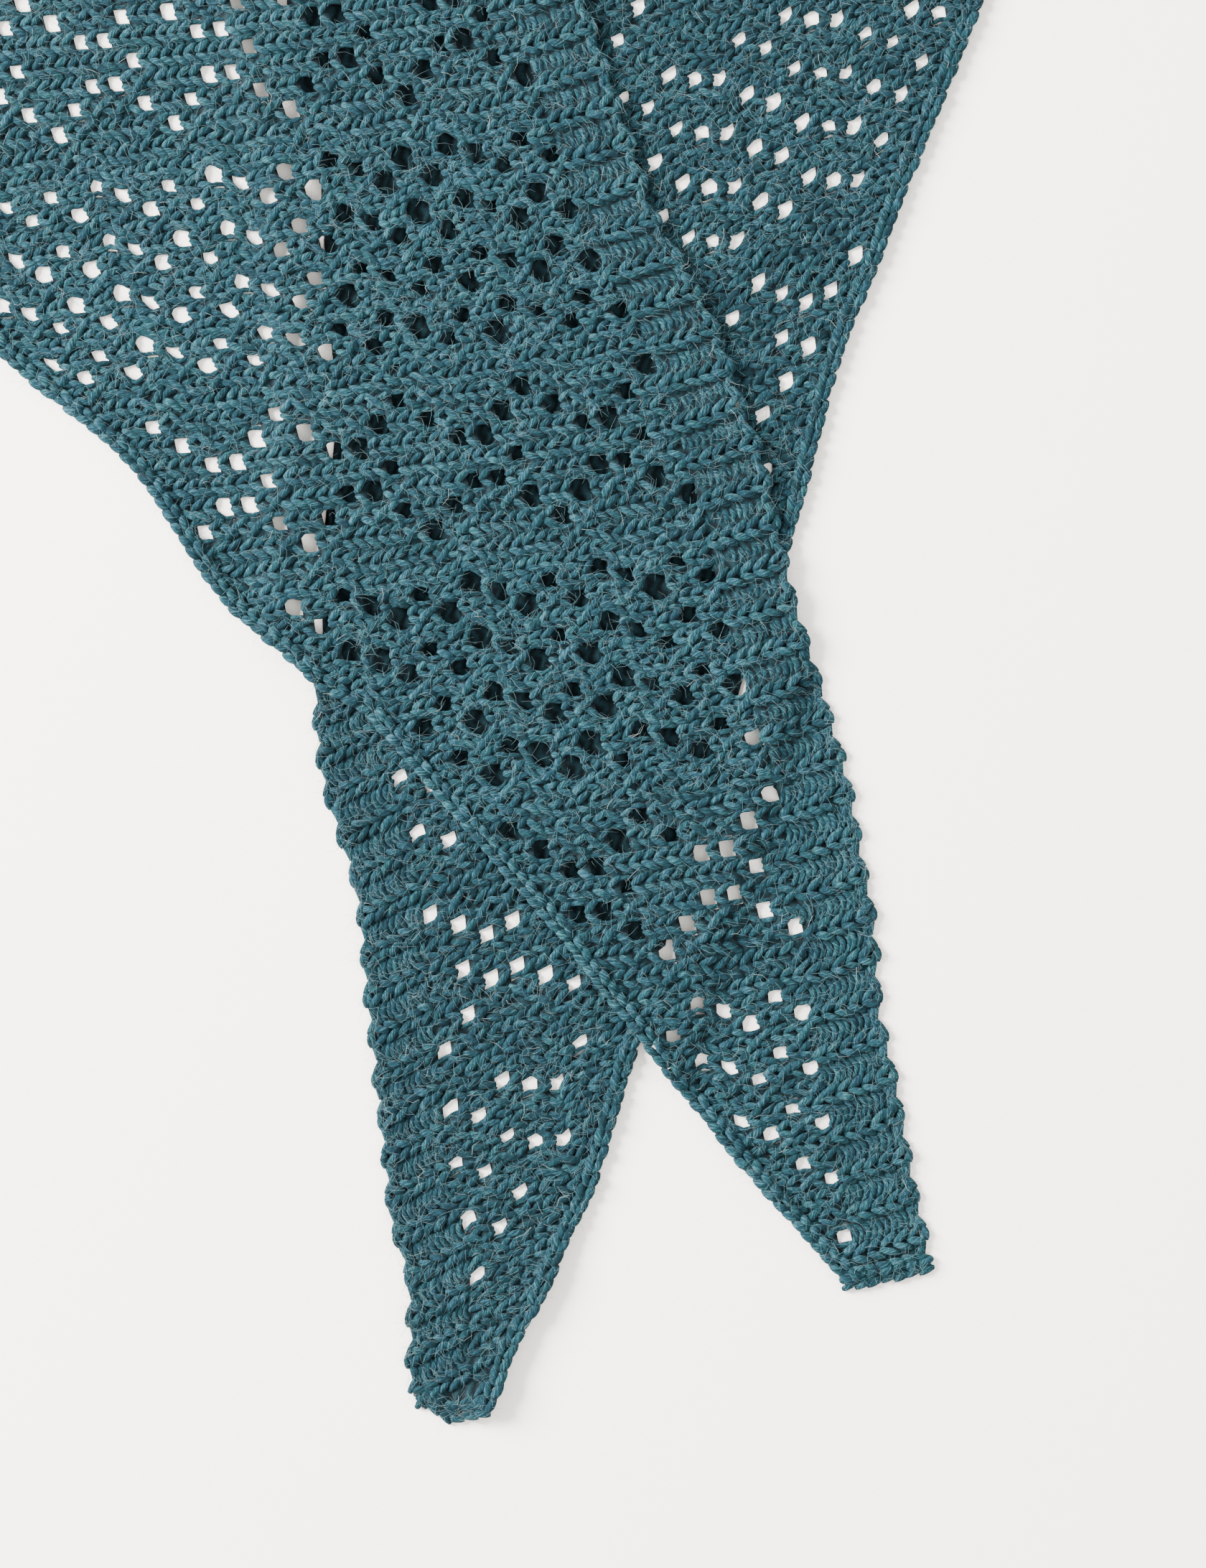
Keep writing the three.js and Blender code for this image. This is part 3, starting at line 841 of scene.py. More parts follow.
class Spinner:
    """Spins yarn round skeletons with one Geometry Nodes tree.

    The section is part of a circle with a flat underside, and the yarn swells unevenly.
    """

    arc_start: float = 155.0
    arc_sweep: float = 230.0
    grain_radius: float = 0.0012
    tone_shift: float = 0.5
    lump_scale: float = 400.0
    lump_share: float = 0.17

    def __init__(self, material: bpy.types.Material) -> None:
        """Keeps the yarn's material and makes the tree."""
        self.material = material
        self.tree = self.build_tree()

    def build_tree(self) -> bpy.types.NodeTree:
        """Makes the tree that sweeps the section along each line of points.

        Returns:
            The tree, with Sides as its input.
        """
        tree = bpy.data.node_groups.new("spin_yarn", "GeometryNodeTree")
        face = tree.interface
        face.new_socket("Geometry", in_out="INPUT", socket_type="NodeSocketGeometry")
        sides = face.new_socket("Sides", in_out="INPUT", socket_type="NodeSocketInt")
        sides.default_value = 5
        face.new_socket("Geometry", in_out="OUTPUT", socket_type="NodeSocketGeometry")
        nodes = Nodes(tree)
        entry = nodes.add("NodeGroupInput")
        radius = nodes.add(
            "GeometryNodeInputNamedAttribute", {"Name": "radius"}, data_type="FLOAT"
        )
        line = nodes.add("GeometryNodeMeshToCurve", {"Mesh": entry.outputs["Geometry"]})
        upright = nodes.add(
            "GeometryNodeSetCurveNormal", {"Curve": line.outputs[0]}, mode="Z_UP"
        )
        run = nodes.add("GeometryNodeSplineParameter")
        tagged = nodes.add(
            "GeometryNodeStoreNamedAttribute",
            {"Geometry": upright.outputs[0], "Name": "run", "Value": run.outputs["Length"]},
            data_type="FLOAT",
            domain="POINT",
        )
        arc = nodes.add(
            "GeometryNodeCurveArc",
            {
                "Resolution": entry.outputs["Sides"],
                "Radius": 1.0,
                "Start Angle": math.radians(self.arc_start),
                "Sweep Angle": math.radians(self.arc_sweep),
            },
            mode="RADIUS",
        )
        ring = nodes.add(
            "GeometryNodeSetSplineCyclic", {"Geometry": arc.outputs["Curve"], "Cyclic": True}
        )
        place = nodes.add("GeometryNodeInputPosition")
        marked = nodes.add(
            "GeometryNodeStoreNamedAttribute",
            {"Geometry": ring.outputs[0], "Name": "ring", "Value": place.outputs[0]},
            data_type="FLOAT_VECTOR",
            domain="POINT",
        )
        swept = nodes.add(
            "GeometryNodeCurveToMesh",
            {
                "Curve": tagged.outputs[0],
                "Profile Curve": marked.outputs[0],
                "Scale": radius.outputs["Attribute"],
                "Fill Caps": True,
            },
        )
        run_back = nodes.add(
            "GeometryNodeInputNamedAttribute", {"Name": "run"}, data_type="FLOAT"
        )
        ring_back = nodes.add(
            "GeometryNodeInputNamedAttribute", {"Name": "ring"}, data_type="FLOAT_VECTOR"
        )
        tone = nodes.add("GeometryNodeInputNamedAttribute", {"Name": "tone"}, data_type="FLOAT")
        parts = nodes.add("ShaderNodeSeparateXYZ", {0: ring_back.outputs["Attribute"]})
        lengthwise = nodes.calc(
            "MULTIPLY_ADD",
            tone.outputs["Attribute"],
            self.tone_shift,
            run_back.outputs["Attribute"],
        )
        wide = nodes.calc("MULTIPLY", parts.outputs["X"], self.grain_radius)
        deep = nodes.calc("MULTIPLY", parts.outputs["Y"], self.grain_radius)
        grain = nodes.add("ShaderNodeCombineXYZ", {"X": lengthwise, "Y": wide, "Z": deep})
        grained = nodes.add(
            "GeometryNodeStoreNamedAttribute",
            {"Geometry": swept.outputs[0], "Name": "grain", "Value": grain.outputs[0]},
            data_type="FLOAT_VECTOR",
            domain="POINT",
        )
        spread = nodes.add("GeometryNodeInputPosition")
        lumps = nodes.noise(spread.outputs[0], self.lump_scale, 2.0)
        swell = nodes.add(
            "ShaderNodeMapRange",
            {
                "Value": lumps,
                "From Min": 0.3,
                "From Max": 0.7,
                "To Min": -self.lump_share,
                "To Max": self.lump_share,
            },
        )
        normal = nodes.add("GeometryNodeInputNormal")
        depth = nodes.calc("MULTIPLY", swell.outputs[0], radius.outputs["Attribute"])
        offset = nodes.add(
            "ShaderNodeVectorMath", {0: normal.outputs[0], "Scale": depth}, operation="SCALE"
        )
        lumpy = nodes.add(
            "GeometryNodeSetPosition",
            {"Geometry": grained.outputs[0], "Offset": offset.outputs[0]},
        )
        rounded = nodes.add("GeometryNodeSetShadeSmooth", {"Geometry": lumpy.outputs[0]})
        real = nodes.add("GeometryNodeRealizeInstances", {"Geometry": rounded.outputs[0]})
        dressed = nodes.add(
            "GeometryNodeSetMaterial",
            {"Geometry": real.outputs[0], "Material": self.material},
        )
        leave = nodes.add("NodeGroupOutput")
        nodes.link(dressed.outputs[0], leave.inputs["Geometry"])
        return tree

    def spin(self, paths: YarnPaths, name: str, sides: int) -> bpy.types.Object:
        """Turns lengths of yarn into one mesh.

        Args:
            paths: The lengths of yarn.
            name: Name of the piece.
            sides: Sides of the yarn.

        Returns:
            The piece, a plain mesh.
        """
        skeleton = paths.skeleton(name + "_line")
        modifier = skeleton.modifiers.new("spin", "NODES")
        modifier.node_group = self.tree
        socket = next(item for item in self.tree.interface.items_tree if item.name == "Sides")
        modifier[socket.identifier] = sides
        return applied(skeleton, name, self.material)


def applied(source: bpy.types.Object, name: str, material: bpy.types.Material) -> bpy.types.Object:
    """Makes a plain mesh of an object with its modifiers, and removes that object.

    Args:
        source: The object to evaluate.
        name: Name of the new piece.
        material: The finish of the new piece.

    Returns:
        The new piece.
    """
    graph = bpy.context.evaluated_depsgraph_get()
    mesh = bpy.data.meshes.new_from_object(source.evaluated_get(graph))
    mesh.name = name
    mesh.materials.clear()
    mesh.materials.append(material)
    bpy.data.objects.remove(source)
    piece = bpy.data.objects.new(name, mesh)
    bpy.context.scene.collection.objects.link(piece)
    return piece


@dataclass(frozen=True)
class Bend:
    """How a length of yarn rises and bows between its ends, and how thick it is."""

    ends: float = -0.7
    middle: float = 0.5
    radius: float = 1.38
    bow: float = 0.0


@dataclass(frozen=True)
class Leg:
    """One leg of a stitch: its ends, counted in columns and rows from the stitch's place."""

    start: tuple[float, float]
    end: tuple[float, float]
    bend: Bend


@dataclass(frozen=True)
class Braid:
    """A row of chained stitches along an edge: their spacing, and the reach of each leg."""

    pitch: float
    back: float
    forward: float
    narrow: float
    wide: float


SIDES = (-1.0, 1.0)
RIB_BEND = Bend(ends=-0.35, middle=0.95, radius=1.5)
PURL_BEND = Bend(ends=-1.6, middle=-0.55, radius=1.25, bow=-0.45)
CHAIN_BEND = Bend(ends=-0.9, middle=0.35, radius=1.3)
ROPE_BENDS = {side: Bend(ends=-0.7, middle=1.6, radius=1.75, bow=0.5 * side) for side in SIDES}
PLAIN_LEG = Leg((0.05, 0.55), (0.47, -0.68), Bend())
LOW_LEG = Leg((0.75, 0.6), (1.25, -0.6), Bend(ends=-0.8, middle=0.3, radius=1.35))
TOP_LEG = Leg((1.45, 0.62), (0.7, -0.72), Bend(ends=-0.6, middle=0.85, radius=1.5))
RIM_LEG = Leg((0.4, 0.6), (0.4, -0.6), Bend(ends=-0.8, middle=-0.15, radius=0.95))
RIB_LEG = Leg((0.02, 0.55), (0.23, -0.68), RIB_BEND)
ROPE_BRAID = Braid(pitch=5.0, back=2.5, forward=3.0, narrow=0.2, wide=1.7)
TIP_BRAID = Braid(pitch=4.6, back=1.9, forward=3.0, narrow=0.2, wide=1.5)
TIP_ROWS = ((1.3, CHAIN_BEND), (4.6, RIB_BEND))


@dataclass
class Tail:
    """One tail of the shawl: its cloth, and where everything on it lies."""

    layer: Layer
    neck: Edge
    outer: Edge
    wale: Wale
    outline: np.ndarray
    fold: tuple[np.ndarray, np.ndarray]
    seed: int
    tip: tuple[Edge, ...]
    cover: np.ndarray | None = None
    # tone is painted shade: below 0 it draws all this tail's yarn darker, though both tails are
    # one yarn.
    tone: float = 0.0
    chart: Chart = field(default_factory=Chart)
    rows: int = 114
    before_neck: float = -8.0
    past_neck: float = 30.0

    def __post_init__(self) -> None:
        """Counts the columns and ribs and finds the eyelets."""
        self.random = np.random.default_rng(self.seed)
        columns = np.arange(*self.chart.all_columns)
        along = self.along(columns.astype(float), np.zeros(len(columns)))
        used = (along > self.before_neck) & (along < self.neck.length + self.past_neck)
        self.columns = columns[used]
        steps = round(self.neck.length / (CLOTH.rib_pitch / 2.0))
        self.rib_pitch = 2.0 * self.neck.length / steps
        self.table = self.eyelet_table()
        self.eyelets = self.spot(self.table[:, 0], self.table[:, 1])
        even = self.random.uniform(*OPENING.uneven, len(self.table))
        laid = np.where(self.on_cloth(self.eyelets), OPENING.on_cloth, OPENING.on_floor)
        by_tip = np.interp(self.eyelets[:, 1], OPENING.tip_heights, OPENING.tip_shares)
        self.openness = self.wale.open * self.table[:, 3] * even * laid * by_tip
        self.tree = kdtree.KDTree(len(self.eyelets))
        for index, centre in enumerate(self.eyelets):
            self.tree.insert((centre[0], centre[1], 0.0), index)
        self.tree.balance()

    def low(self, points: np.ndarray) -> np.ndarray:
        """Underside heights of this tail."""
        return over_low(points) if self.layer is Layer.OVER else under_low(points)

    def on_cloth(self, points: np.ndarray) -> np.ndarray:
        """Whether another layer lies below plan points of this tail.

        Args:
            points: Plan points.

        Returns:
            One answer for each point.
        """
        below = row_key(points) > 0.0
        if self.layer is Layer.OVER:
            below |= outline_distance(points, UNDER_OUTLINE)[0] < 0.0
        return below

    def by_fold(self, points: np.ndarray) -> np.ndarray:
        """Whether plan points lie beside the fold, where stitches run round to the back."""
        near = line_distance(points, *self.fold) < LAYING.fold_width
        return near & (row_key(points) > LAYING.fold_reach)

    def place(self, along: np.ndarray, distance: np.ndarray) -> np.ndarray:
        """Plan points of places along the neck edge and away from it.

        Args:
            along: Distances along the neck edge.
            distance: Distances from it into the cloth.

        Returns:
            One plan point for each place.
        """
        along = np.maximum(along, 0.0)
        distance = np.maximum(distance, CLOTH.rim)
        wave = np.cos(math.tau * (along / self.rib_pitch - 0.5))
        bump = CLOTH.scallop * wave * np.exp(-distance / CLOTH.scallop_fade)
        return self.neck.at(along, bump) + self.wale.offset(distance)

    def along(self, column: np.ndarray, row: np.ndarray) -> np.ndarray:
        """Distances along the neck edge of places counted in columns and rows."""
        return self.wale.mesh_at + self.chart.across(column, row, -self.wale.side)

    def spot(self, column: np.ndarray, row: np.ndarray) -> np.ndarray:
        """Plan points of places counted in columns and rows of stitches.

        Args:
            column: Columns, in parts of a column too.
            row: Rows, in parts of a row too.

        Returns:
            One plan point for each place.
        """
        along = self.along(column, row)
        pitch = np.interp(along, self.chart.pitch_at, self.chart.pitch) / 2.0
        return self.place(along, self.wale.first_row + row * pitch)

    def rib_spot(self, rib: np.ndarray, row: np.ndarray) -> np.ndarray:
        """Plan points of places counted in ribs and in rows of the border.

        Args:
            rib: Ribs, in parts of a rib too.
            row: Rows, in parts of a row too.

        Returns:
            One plan point for each place.
        """
        last = self.wale.first_row - CLOTH.border_to_lace
        step = (last - CLOTH.border_from) / (CLOTH.border_rows - 1)
        return self.place(rib * self.rib_pitch, CLOTH.border_from + row * step)

    def outer_spot(self, gone: np.ndarray, inset: np.ndarray) -> np.ndarray:
        """Plan points of places counted along the outer edge and in from it."""
        return self.outer.at(np.clip(gone, 0.0, self.outer.length), -inset)

    def eyelet_table(self) -> np.ndarray:
        """Lists the eyelets that lie well inside the cloth and aren't hidden.

        Returns:
            Rows of column, row, leaning side and size.
        """
        found = []
        for lace_row in range(self.rows // 2):
            for column, lean, size in self.chart.eyelets(lace_row, -self.wale.side):
                for panel in range(*self.chart.panels):
                    place = column + panel * self.chart.columns
                    found.append((place, 2 * lace_row, lean, size))
        table = np.array(found, float)
        along = self.along(table[:, 0], table[:, 1])
        table = table[(along > 0.0) & (along < self.neck.length)]
        centres = self.spot(table[:, 0], table[:, 1])
        by_tip = centres[:, 1] < self.outer.start[1] + self.wale.shut
        margin = np.where(by_tip, CLOTH.tip_margin, CLOTH.margin)
        keep = outline_distance(centres, self.outline)[0] < -margin
        return table[keep & self.uncovered(centres, self.wale.eyelet[1])]

    def uncovered(self, points: np.ndarray, reach: float) -> np.ndarray:
        """Whether plan points show from above, past the tail that lies on top.

        Args:
            points: Plan points.
            reach: How far under the tail on top a point still counts as showing.

        Returns:
            One answer for each point.
        """
        if self.cover is None:
            return np.ones(len(points), bool)
        return outline_distance(points, self.cover)[0] > -reach

    def part_from_eyelets(self, points: np.ndarray, push: float = 1.0) -> np.ndarray:
        """Pushes plan points apart round the eyelets.

        Args:
            points: Plan points.
            push: How strongly points are moved.

        Returns:
            The moved points.
        """
        size = np.array(self.wale.eyelet) + OPENING.rim
        moved = points.copy()
        near = np.full((len(points), 2), -1)
        for index, point in enumerate(points):
            closest = self.tree.find_n((point[0], point[1], 0.0), 2)
            for rank, (_, found, gap) in enumerate(closest):
                if gap < OPENING.reach:
                    near[index, rank] = found
        for rank in range(2):
            chosen = near[:, rank] >= 0
            gap = points[chosen] - self.eyelets[near[chosen, rank]]
            upright = gap[:, 0] - self.wale.lean * gap[:, 1]
            scaled = np.stack([upright, gap[:, 1]], axis=1) / size
            reach = np.maximum(np.linalg.norm(scaled, axis=1), OPENING.least)
            strength = push * self.openness[near[chosen, rank]] ** 2
            wider = np.sqrt(reach**2 + strength * np.exp(-((reach / OPENING.fade) ** 2)))
            spread = scaled * (wider / reach)[:, None] * size
            leaning = spread[:, 0] + self.wale.lean * spread[:, 1]
            moved[chosen] += np.stack([leaning, spread[:, 1]], axis=1) - gap
        return moved

    def cloth(self, material: bpy.types.Material) -> bpy.types.Object:
        """Makes the thin closed cloth under the yarn, with every eyelet open.

        Args:
            material: The cloth's finish.

        Returns:
            The cloth.
        """
        rows = np.arange(-CLOTH.border_rows - 1, self.rows)
        corners = np.meshgrid(
            np.append(self.columns, self.columns[-1] + 1) - 0.5,
            np.append(rows, rows[-1] + 1) - 0.5,
        )
        columns, counted = (axis.ravel() for axis in corners)
        points = self.spot(columns, counted)
        cells = [axis.ravel() for axis in np.meshgrid(self.columns, rows)]
        centres = self.spot(*(axis.astype(float) for axis in cells))
        from_edge = outline_distance(centres, self.outline)[0]
        keep = from_edge < CLOTH_CELLS.at(self.by_fold(centres))
        opened = {(int(column), int(row)) for column, row, _, _ in self.table}
        keep &= [pair not in opened for pair in zip(*(axis.tolist() for axis in cells))]
        row, column = np.divmod(np.flatnonzero(keep), len(self.columns))
        width = len(self.columns) + 1
        corner = row * width + column
        faces = np.stack([corner, corner + 1, corner + width + 1, corner + width], axis=1)
        points = self.part_from_eyelets(points, OPENING.cloth_push)
        points = inside_outline(points, self.outline, CLOTH_INSETS.at(self.by_fold(points)))
        low = self.low(points)
        top = (low + CLOTH.backing_high) * fold_share(points, *self.fold)
        bottom = np.minimum(low + CLOTH.backing_low, top - CLOTH.backing_least)
        if self.wale.side < 0:
            faces = faces[:, ::-1]
        chart = np.stack([columns, counted], axis=1)
        name = f"{self.layer.value}_cloth"
        return wall_piece(name, points, (bottom, top), faces, chart, material)

    def strands(
        self, starts: Counts, ends: Counts, bend: Bend, steps: int, spot: Spot
    ) -> tuple[np.ndarray, np.ndarray, np.ndarray]:
        """Lays single lengths of yarn between pairs of places.

        Args:
            starts: The two counts of each first end.
            ends: The two counts of each last end.
            bend: How the yarn rises and bows between them.
            steps: Points along a length.
            spot: Finds a plan point from two counts.

        Returns:
            Points, radii and tones: a random tone for each length, plus this tail's painted shade.
        """
        t = np.linspace(0.0, 1.0, steps)[None, :]
        swell = np.sin(math.pi * t) ** TWIST.swell
        pairs = zip(starts, ends)
        counts = [first[:, None] * (1.0 - t) + last[:, None] * t for first, last in pairs]
        counts[1] = counts[1] + bend.bow * np.sin(math.pi * t)
        loose = self.random.normal(0.0, 1.0, (len(counts[0]), 4))
        plan = spot(counts[0].ravel(), counts[1].ravel()).reshape(len(loose), steps, 2)
        plan = self.part_from_eyelets((plan + TWIST.stray * loose[:, None, :2]).reshape(-1, 2))
        plan = inside_outline(plan, self.outline, YARN_INSETS.at(self.by_fold(plan)))
        base = (self.low(plan) + CLOTH.yarn_height) * fold_share(plan, *self.fold)
        uneven = 1.0 + TWIST.uneven_radius * loose[:, 3:]
        radii = bend.radius * (TWIST.end_radius + TWIST.middle_radius * swell) * uneven
        rise = bend.ends + (bend.middle - bend.ends) * swell + TWIST.uneven_height * loose[:, 2:3]
        lowest = TWIST.underside * radii + TWIST.clear
        height = np.maximum(base.reshape(rise.shape) + rise, lowest)
        solid = np.concatenate([plan.reshape(*height.shape, 2), height[..., None]], axis=2)
        return solid, radii, self.random.random(len(loose)) + self.tone


def inside_outline(points: np.ndarray, outline: np.ndarray, inset: np.ndarray) -> np.ndarray:
    """Moves plan points that lie past an outline, or nearer than their inset, to that inset.

    Args:
        points: Plan points.
        outline: Corners of the outline in order.
        inset: How far inside the outline each point stays.

    Returns:
        The points, moved where they had to be.
    """
    outside, nearest = outline_distance(points, outline)
    inward = points - nearest
    length = np.maximum(np.linalg.norm(inward, axis=1), 1e-6)[:, None]
    toward = np.where(outside[:, None] < 0.0, inward, -inward) / length
    return np.where((outside > -inset)[:, None], nearest + toward * inset[:, None], points)


def wall_piece(
    name: str,
    points: np.ndarray,
    heights: tuple[np.ndarray, np.ndarray],
    faces: np.ndarray,
    chart: np.ndarray,
    material: bpy.types.Material,
) -> bpy.types.Object:
    """Makes a closed thin wall from a plan of faces.

    Args:
        name: Name of the piece.
        points: Plan points in millimetres.
        heights: Lower and upper heights of the points.
        faces: Faces of the plan, seen from above, anticlockwise.
        chart: The map of stitches and rows at each point.
        material: The piece's finish.

    Returns:
        The piece.
    """
    used = np.unique(faces)
    index = np.full(len(points), -1)
    index[used] = np.arange(len(used))
    faces = index[faces]
    count = len(used)
    bottom = np.concatenate([points[used], heights[0][used, None]], axis=1)
    top = np.concatenate([points[used], heights[1][used, None]], axis=1)
    edges = np.concatenate([faces[:, [i, (i + 1) % 4]] for i in range(4)])
    codes = edges[:, 0] * count + edges[:, 1]
    back_codes = edges[:, 1] * count + edges[:, 0]
    rim = edges[~np.isin(codes, back_codes)]
    sides = np.stack([rim[:, 0], rim[:, 1], rim[:, 1] + count, rim[:, 0] + count], axis=1)
    polygons = np.concatenate([faces[:, ::-1], faces + count, sides])
    mesh = bpy.data.meshes.new(name)
    everything = np.concatenate([bottom, top]) * MM
    mesh.from_pydata(everything.tolist(), [], polygons.tolist())
    uv = mesh.uv_layers.new(name="UVMap")
    corner = np.empty(len(mesh.loops), int)
    mesh.loops.foreach_get("vertex_index", corner)
    uv.data.foreach_set("uv", np.tile(chart[used], (2, 1))[corner].ravel())
    mesh.polygons.foreach_set("use_smooth", np.ones(len(mesh.polygons), bool))
    mesh.materials.append(material)
    mesh.update()
    piece = bpy.data.objects.new(name, mesh)
    bpy.context.scene.collection.objects.link(piece)
    return piece


@dataclass
class Studio:
    """Floor, lights and the camera straight above the crossed tails."""

    centre: tuple[float, float] = (116.75, -275.5)
    frame: tuple[float, float] = (420.0, 546.0)
    height: float = 1500.0
    floor_reach: float = 3.0
    sky: tuple[float, float, float] = (1.0, 0.985, 0.965)
    sky_strength: float = 1.95

    def camera(self) -> None:
        """Makes the camera."""
        data = bpy.data.cameras.new("camera")
        data.sensor_fit = "VERTICAL"
        data.angle_y = 2.0 * math.atan(self.frame[1] / 2.0 / self.height)
        camera = bpy.data.objects.new("camera", data)
        camera.location = (self.centre[0] * MM, self.centre[1] * MM, self.height * MM)
        bpy.context.scene.collection.objects.link(camera)
        bpy.context.scene.camera = camera

    def floor(self) -> None:
        """Makes the pale surface that the shawl lies on."""
        mesh = bpy.data.meshes.new("floor")
        around = ((-1.0, -1.0), (1.0, -1.0), (1.0, 1.0), (-1.0, 1.0))
        corners = [(x * self.floor_reach, y * self.floor_reach, 0.0) for x, y in around]
        mesh.from_pydata(corners, [], [(0, 1, 2, 3)])
        mesh.materials.append(FloorFinish().material())
        floor = bpy.data.objects.new("floor", mesh)
        bpy.context.scene.collection.objects.link(floor)

    def lamp(
        self, name: str, place: tuple[float, float, float], size: float, power: float
    ) -> None:
        """Makes a square area light that faces the middle of the view.

        Args:
            name: Name of the light.
            place: Where it hangs, in metres from the middle of the view.
            size: Side of the light in metres.
            power: Its power in watts.
        """
        data = bpy.data.lights.new(name, "AREA")
        data.size = size
        data.energy = power
        light = bpy.data.objects.new(name, data)
        light.location = (
            place[0] + self.centre[0] * MM,
            place[1] + self.centre[1] * MM,
            place[2],
        )
        light.rotation_euler = Vector(place).to_track_quat("Z", "Y").to_euler()
        bpy.context.scene.collection.objects.link(light)

    def world(self) -> None:
        """Makes a pale, even sky."""
        world = bpy.data.worlds.new("studio")
        world.use_nodes = True
        sky = world.node_tree.nodes["Background"]
        sky.inputs["Color"].default_value = (*self.sky, 1.0)
        sky.inputs["Strength"].default_value = self.sky_strength
        bpy.context.scene.world = world


def is_photographed(points: np.ndarray) -> np.ndarray:
    """Whether plan points lie in the part that the close-up shows, or just beside it."""
    return (points[:, 0] > CLOSE_LEFT) & (points[:, 1] < CLOSE_TOP)


@dataclass
class Knitter:
    """Lays all the yarn of one tail at one level of detail."""

    tail: Tail
    detail: Detail
    under_reach: float = 9.0
    more_ribs: float = 3.0
    rib_inset: float = 2.2
    furrow: float = 0.24
    furrow_rows: tuple[float, float] = (0.0, 0.5)
    edge_clear: float = 2.0
    chain_in_rib: float = 3.0
    chain_from: float = 1.9
    chain_to: tuple[float, float] = (1.2, 3.0)
    chain_back: float = 0.45
    chain_forward: float = 0.6
    rope_inset: float = 3.2

    def chosen(self, counts: Counts, spot: Spot) -> np.ndarray:
        """Which places belong to this level of detail and aren't covered.

        Args:
            counts: The two counts of each place.
            spot: Finds a plan point from two counts.

        Returns:
            One answer for each place.
        """
        centres = spot(*counts)
        close = is_photographed(centres)
        keep = close if self.detail is Detail.FINE else ~close
        return keep & self.tail.uncovered(centres, self.under_reach)

    def lay(self, paths: YarnPaths, start: Counts, end: Counts, bend: Bend, spot: Spot) -> None:
        """Adds lengths of yarn between pairs of places."""
        paths.add(*self.tail.strands(start, end, bend, self.detail.steps, spot))

    def legs(
        self, paths: YarnPaths, places: Counts, side: float | np.ndarray, leg: Leg, spot: Spot
    ) -> None:
        """Adds one leg to each of many stitches.

        Args:
            paths: Where the yarn is added.
            places: The column and row of each stitch.
            side: 1 or -1, the side that the leg leans to.
            leg: The leg's ends and bend.
            spot: Finds a plan point from two counts.
        """
        column, row = places
        start = column + leg.start[0] * side, row + leg.start[1]
        end = column + leg.end[0] * side, row + leg.end[1]
        self.lay(paths, start, end, leg.bend, spot)

    def braid(
        self, paths: YarnPaths, places: Counts, braid: Braid, bends: dict[float, Bend], spot: Spot
    ) -> None:
        """Adds a row of chained stitches along an edge.

        Args:
            paths: Where the yarn is added.
            places: Distances along the edge and in from it.
            braid: The reach of the legs.
            bends: How the legs of each side bend.
            spot: Finds a plan point from two counts.
        """
        gone, inset = places
        for side, bend in bends.items():
            start = gone - braid.back, inset + braid.narrow * side
            end = gone + braid.forward, inset + braid.wide * side
            self.lay(paths, start, end, bend, spot)

    def lace(self, paths: YarnPaths) -> None:
        """Lays the plain stitches, the decreases and the edges of the yarn overs.

        Args:
            paths: Where the yarn is added.
        """
        tail = self.tail
        grid = np.meshgrid(tail.columns.astype(float), np.arange(float(tail.rows)))
        column, row = (axis.ravel() for axis in grid)
        taken = {(a, b) for a, b, _, _ in tail.table.tolist()}
        taken |= {(a + lean, b) for a, b, lean, _ in tail.table.tolist()}
        free = np.array([pair not in taken for pair in zip(column.tolist(), row.tolist())])
        centres = tail.spot(column, row)
        inside = STITCH_CENTRES.at(tail.by_fold(centres))
        free &= outline_distance(centres, tail.outline)[0] < inside
        free &= self.chosen((column, row), tail.spot)
        places = column[free], row[free]
        for side in SIDES:
            self.legs(paths, places, side, PLAIN_LEG, tail.spot)
        column, row, lean, _ = tail.table.T
        keep = self.chosen((column, row), tail.spot)
        places = column[keep], row[keep]
        for leg in (LOW_LEG, TOP_LEG):
            self.legs(paths, places, lean[keep], leg, tail.spot)
        for side in SIDES:
            self.legs(paths, places, side, RIM_LEG, tail.spot)

    def border(self, paths: YarnPaths) -> None:
        """Lays the ribs, the purl bumps between them and the bound-off chain.

        The ribs go on past the end of the neck edge, as they slant back over the tip.

        Args:
            paths: Where the yarn is added.
        """
        tail = self.tail
        ribs = np.arange(float(round(tail.neck.length / tail.rib_pitch)) + self.more_ribs)
        grid = np.meshgrid(ribs, np.arange(float(CLOTH.border_rows)))
        furrow, row = (axis.ravel() for axis in grid)
        keep = self.chosen((furrow, row), tail.rib_spot)
        from_edge = outline_distance(tail.rib_spot(furrow + 0.5, row), tail.outline)[0]
        keep &= from_edge < -self.rib_inset
        furrow, row = furrow[keep], row[keep]
        for side in SIDES:
            self.legs(paths, (furrow + 0.5, row), side, RIB_LEG, tail.rib_spot)
        for shift in self.furrow_rows:
            start = furrow - self.furrow, row + shift
            self.lay(paths, start, (furrow + self.furrow, row + shift), PURL_BEND, tail.rib_spot)
        step = tail.rib_pitch / self.chain_in_rib
        along = np.arange(step / 2.0, tail.neck.length - self.edge_clear, step)
        along = along[self.chosen((along, np.full(len(along), self.edge_clear)), tail.place)]
        start = along - self.chain_back * step, np.full(len(along), self.chain_from)
        for distance in self.chain_to:
            end = along + self.chain_forward * step, np.full(len(along), distance)
            self.lay(paths, start, end, CHAIN_BEND, tail.place)

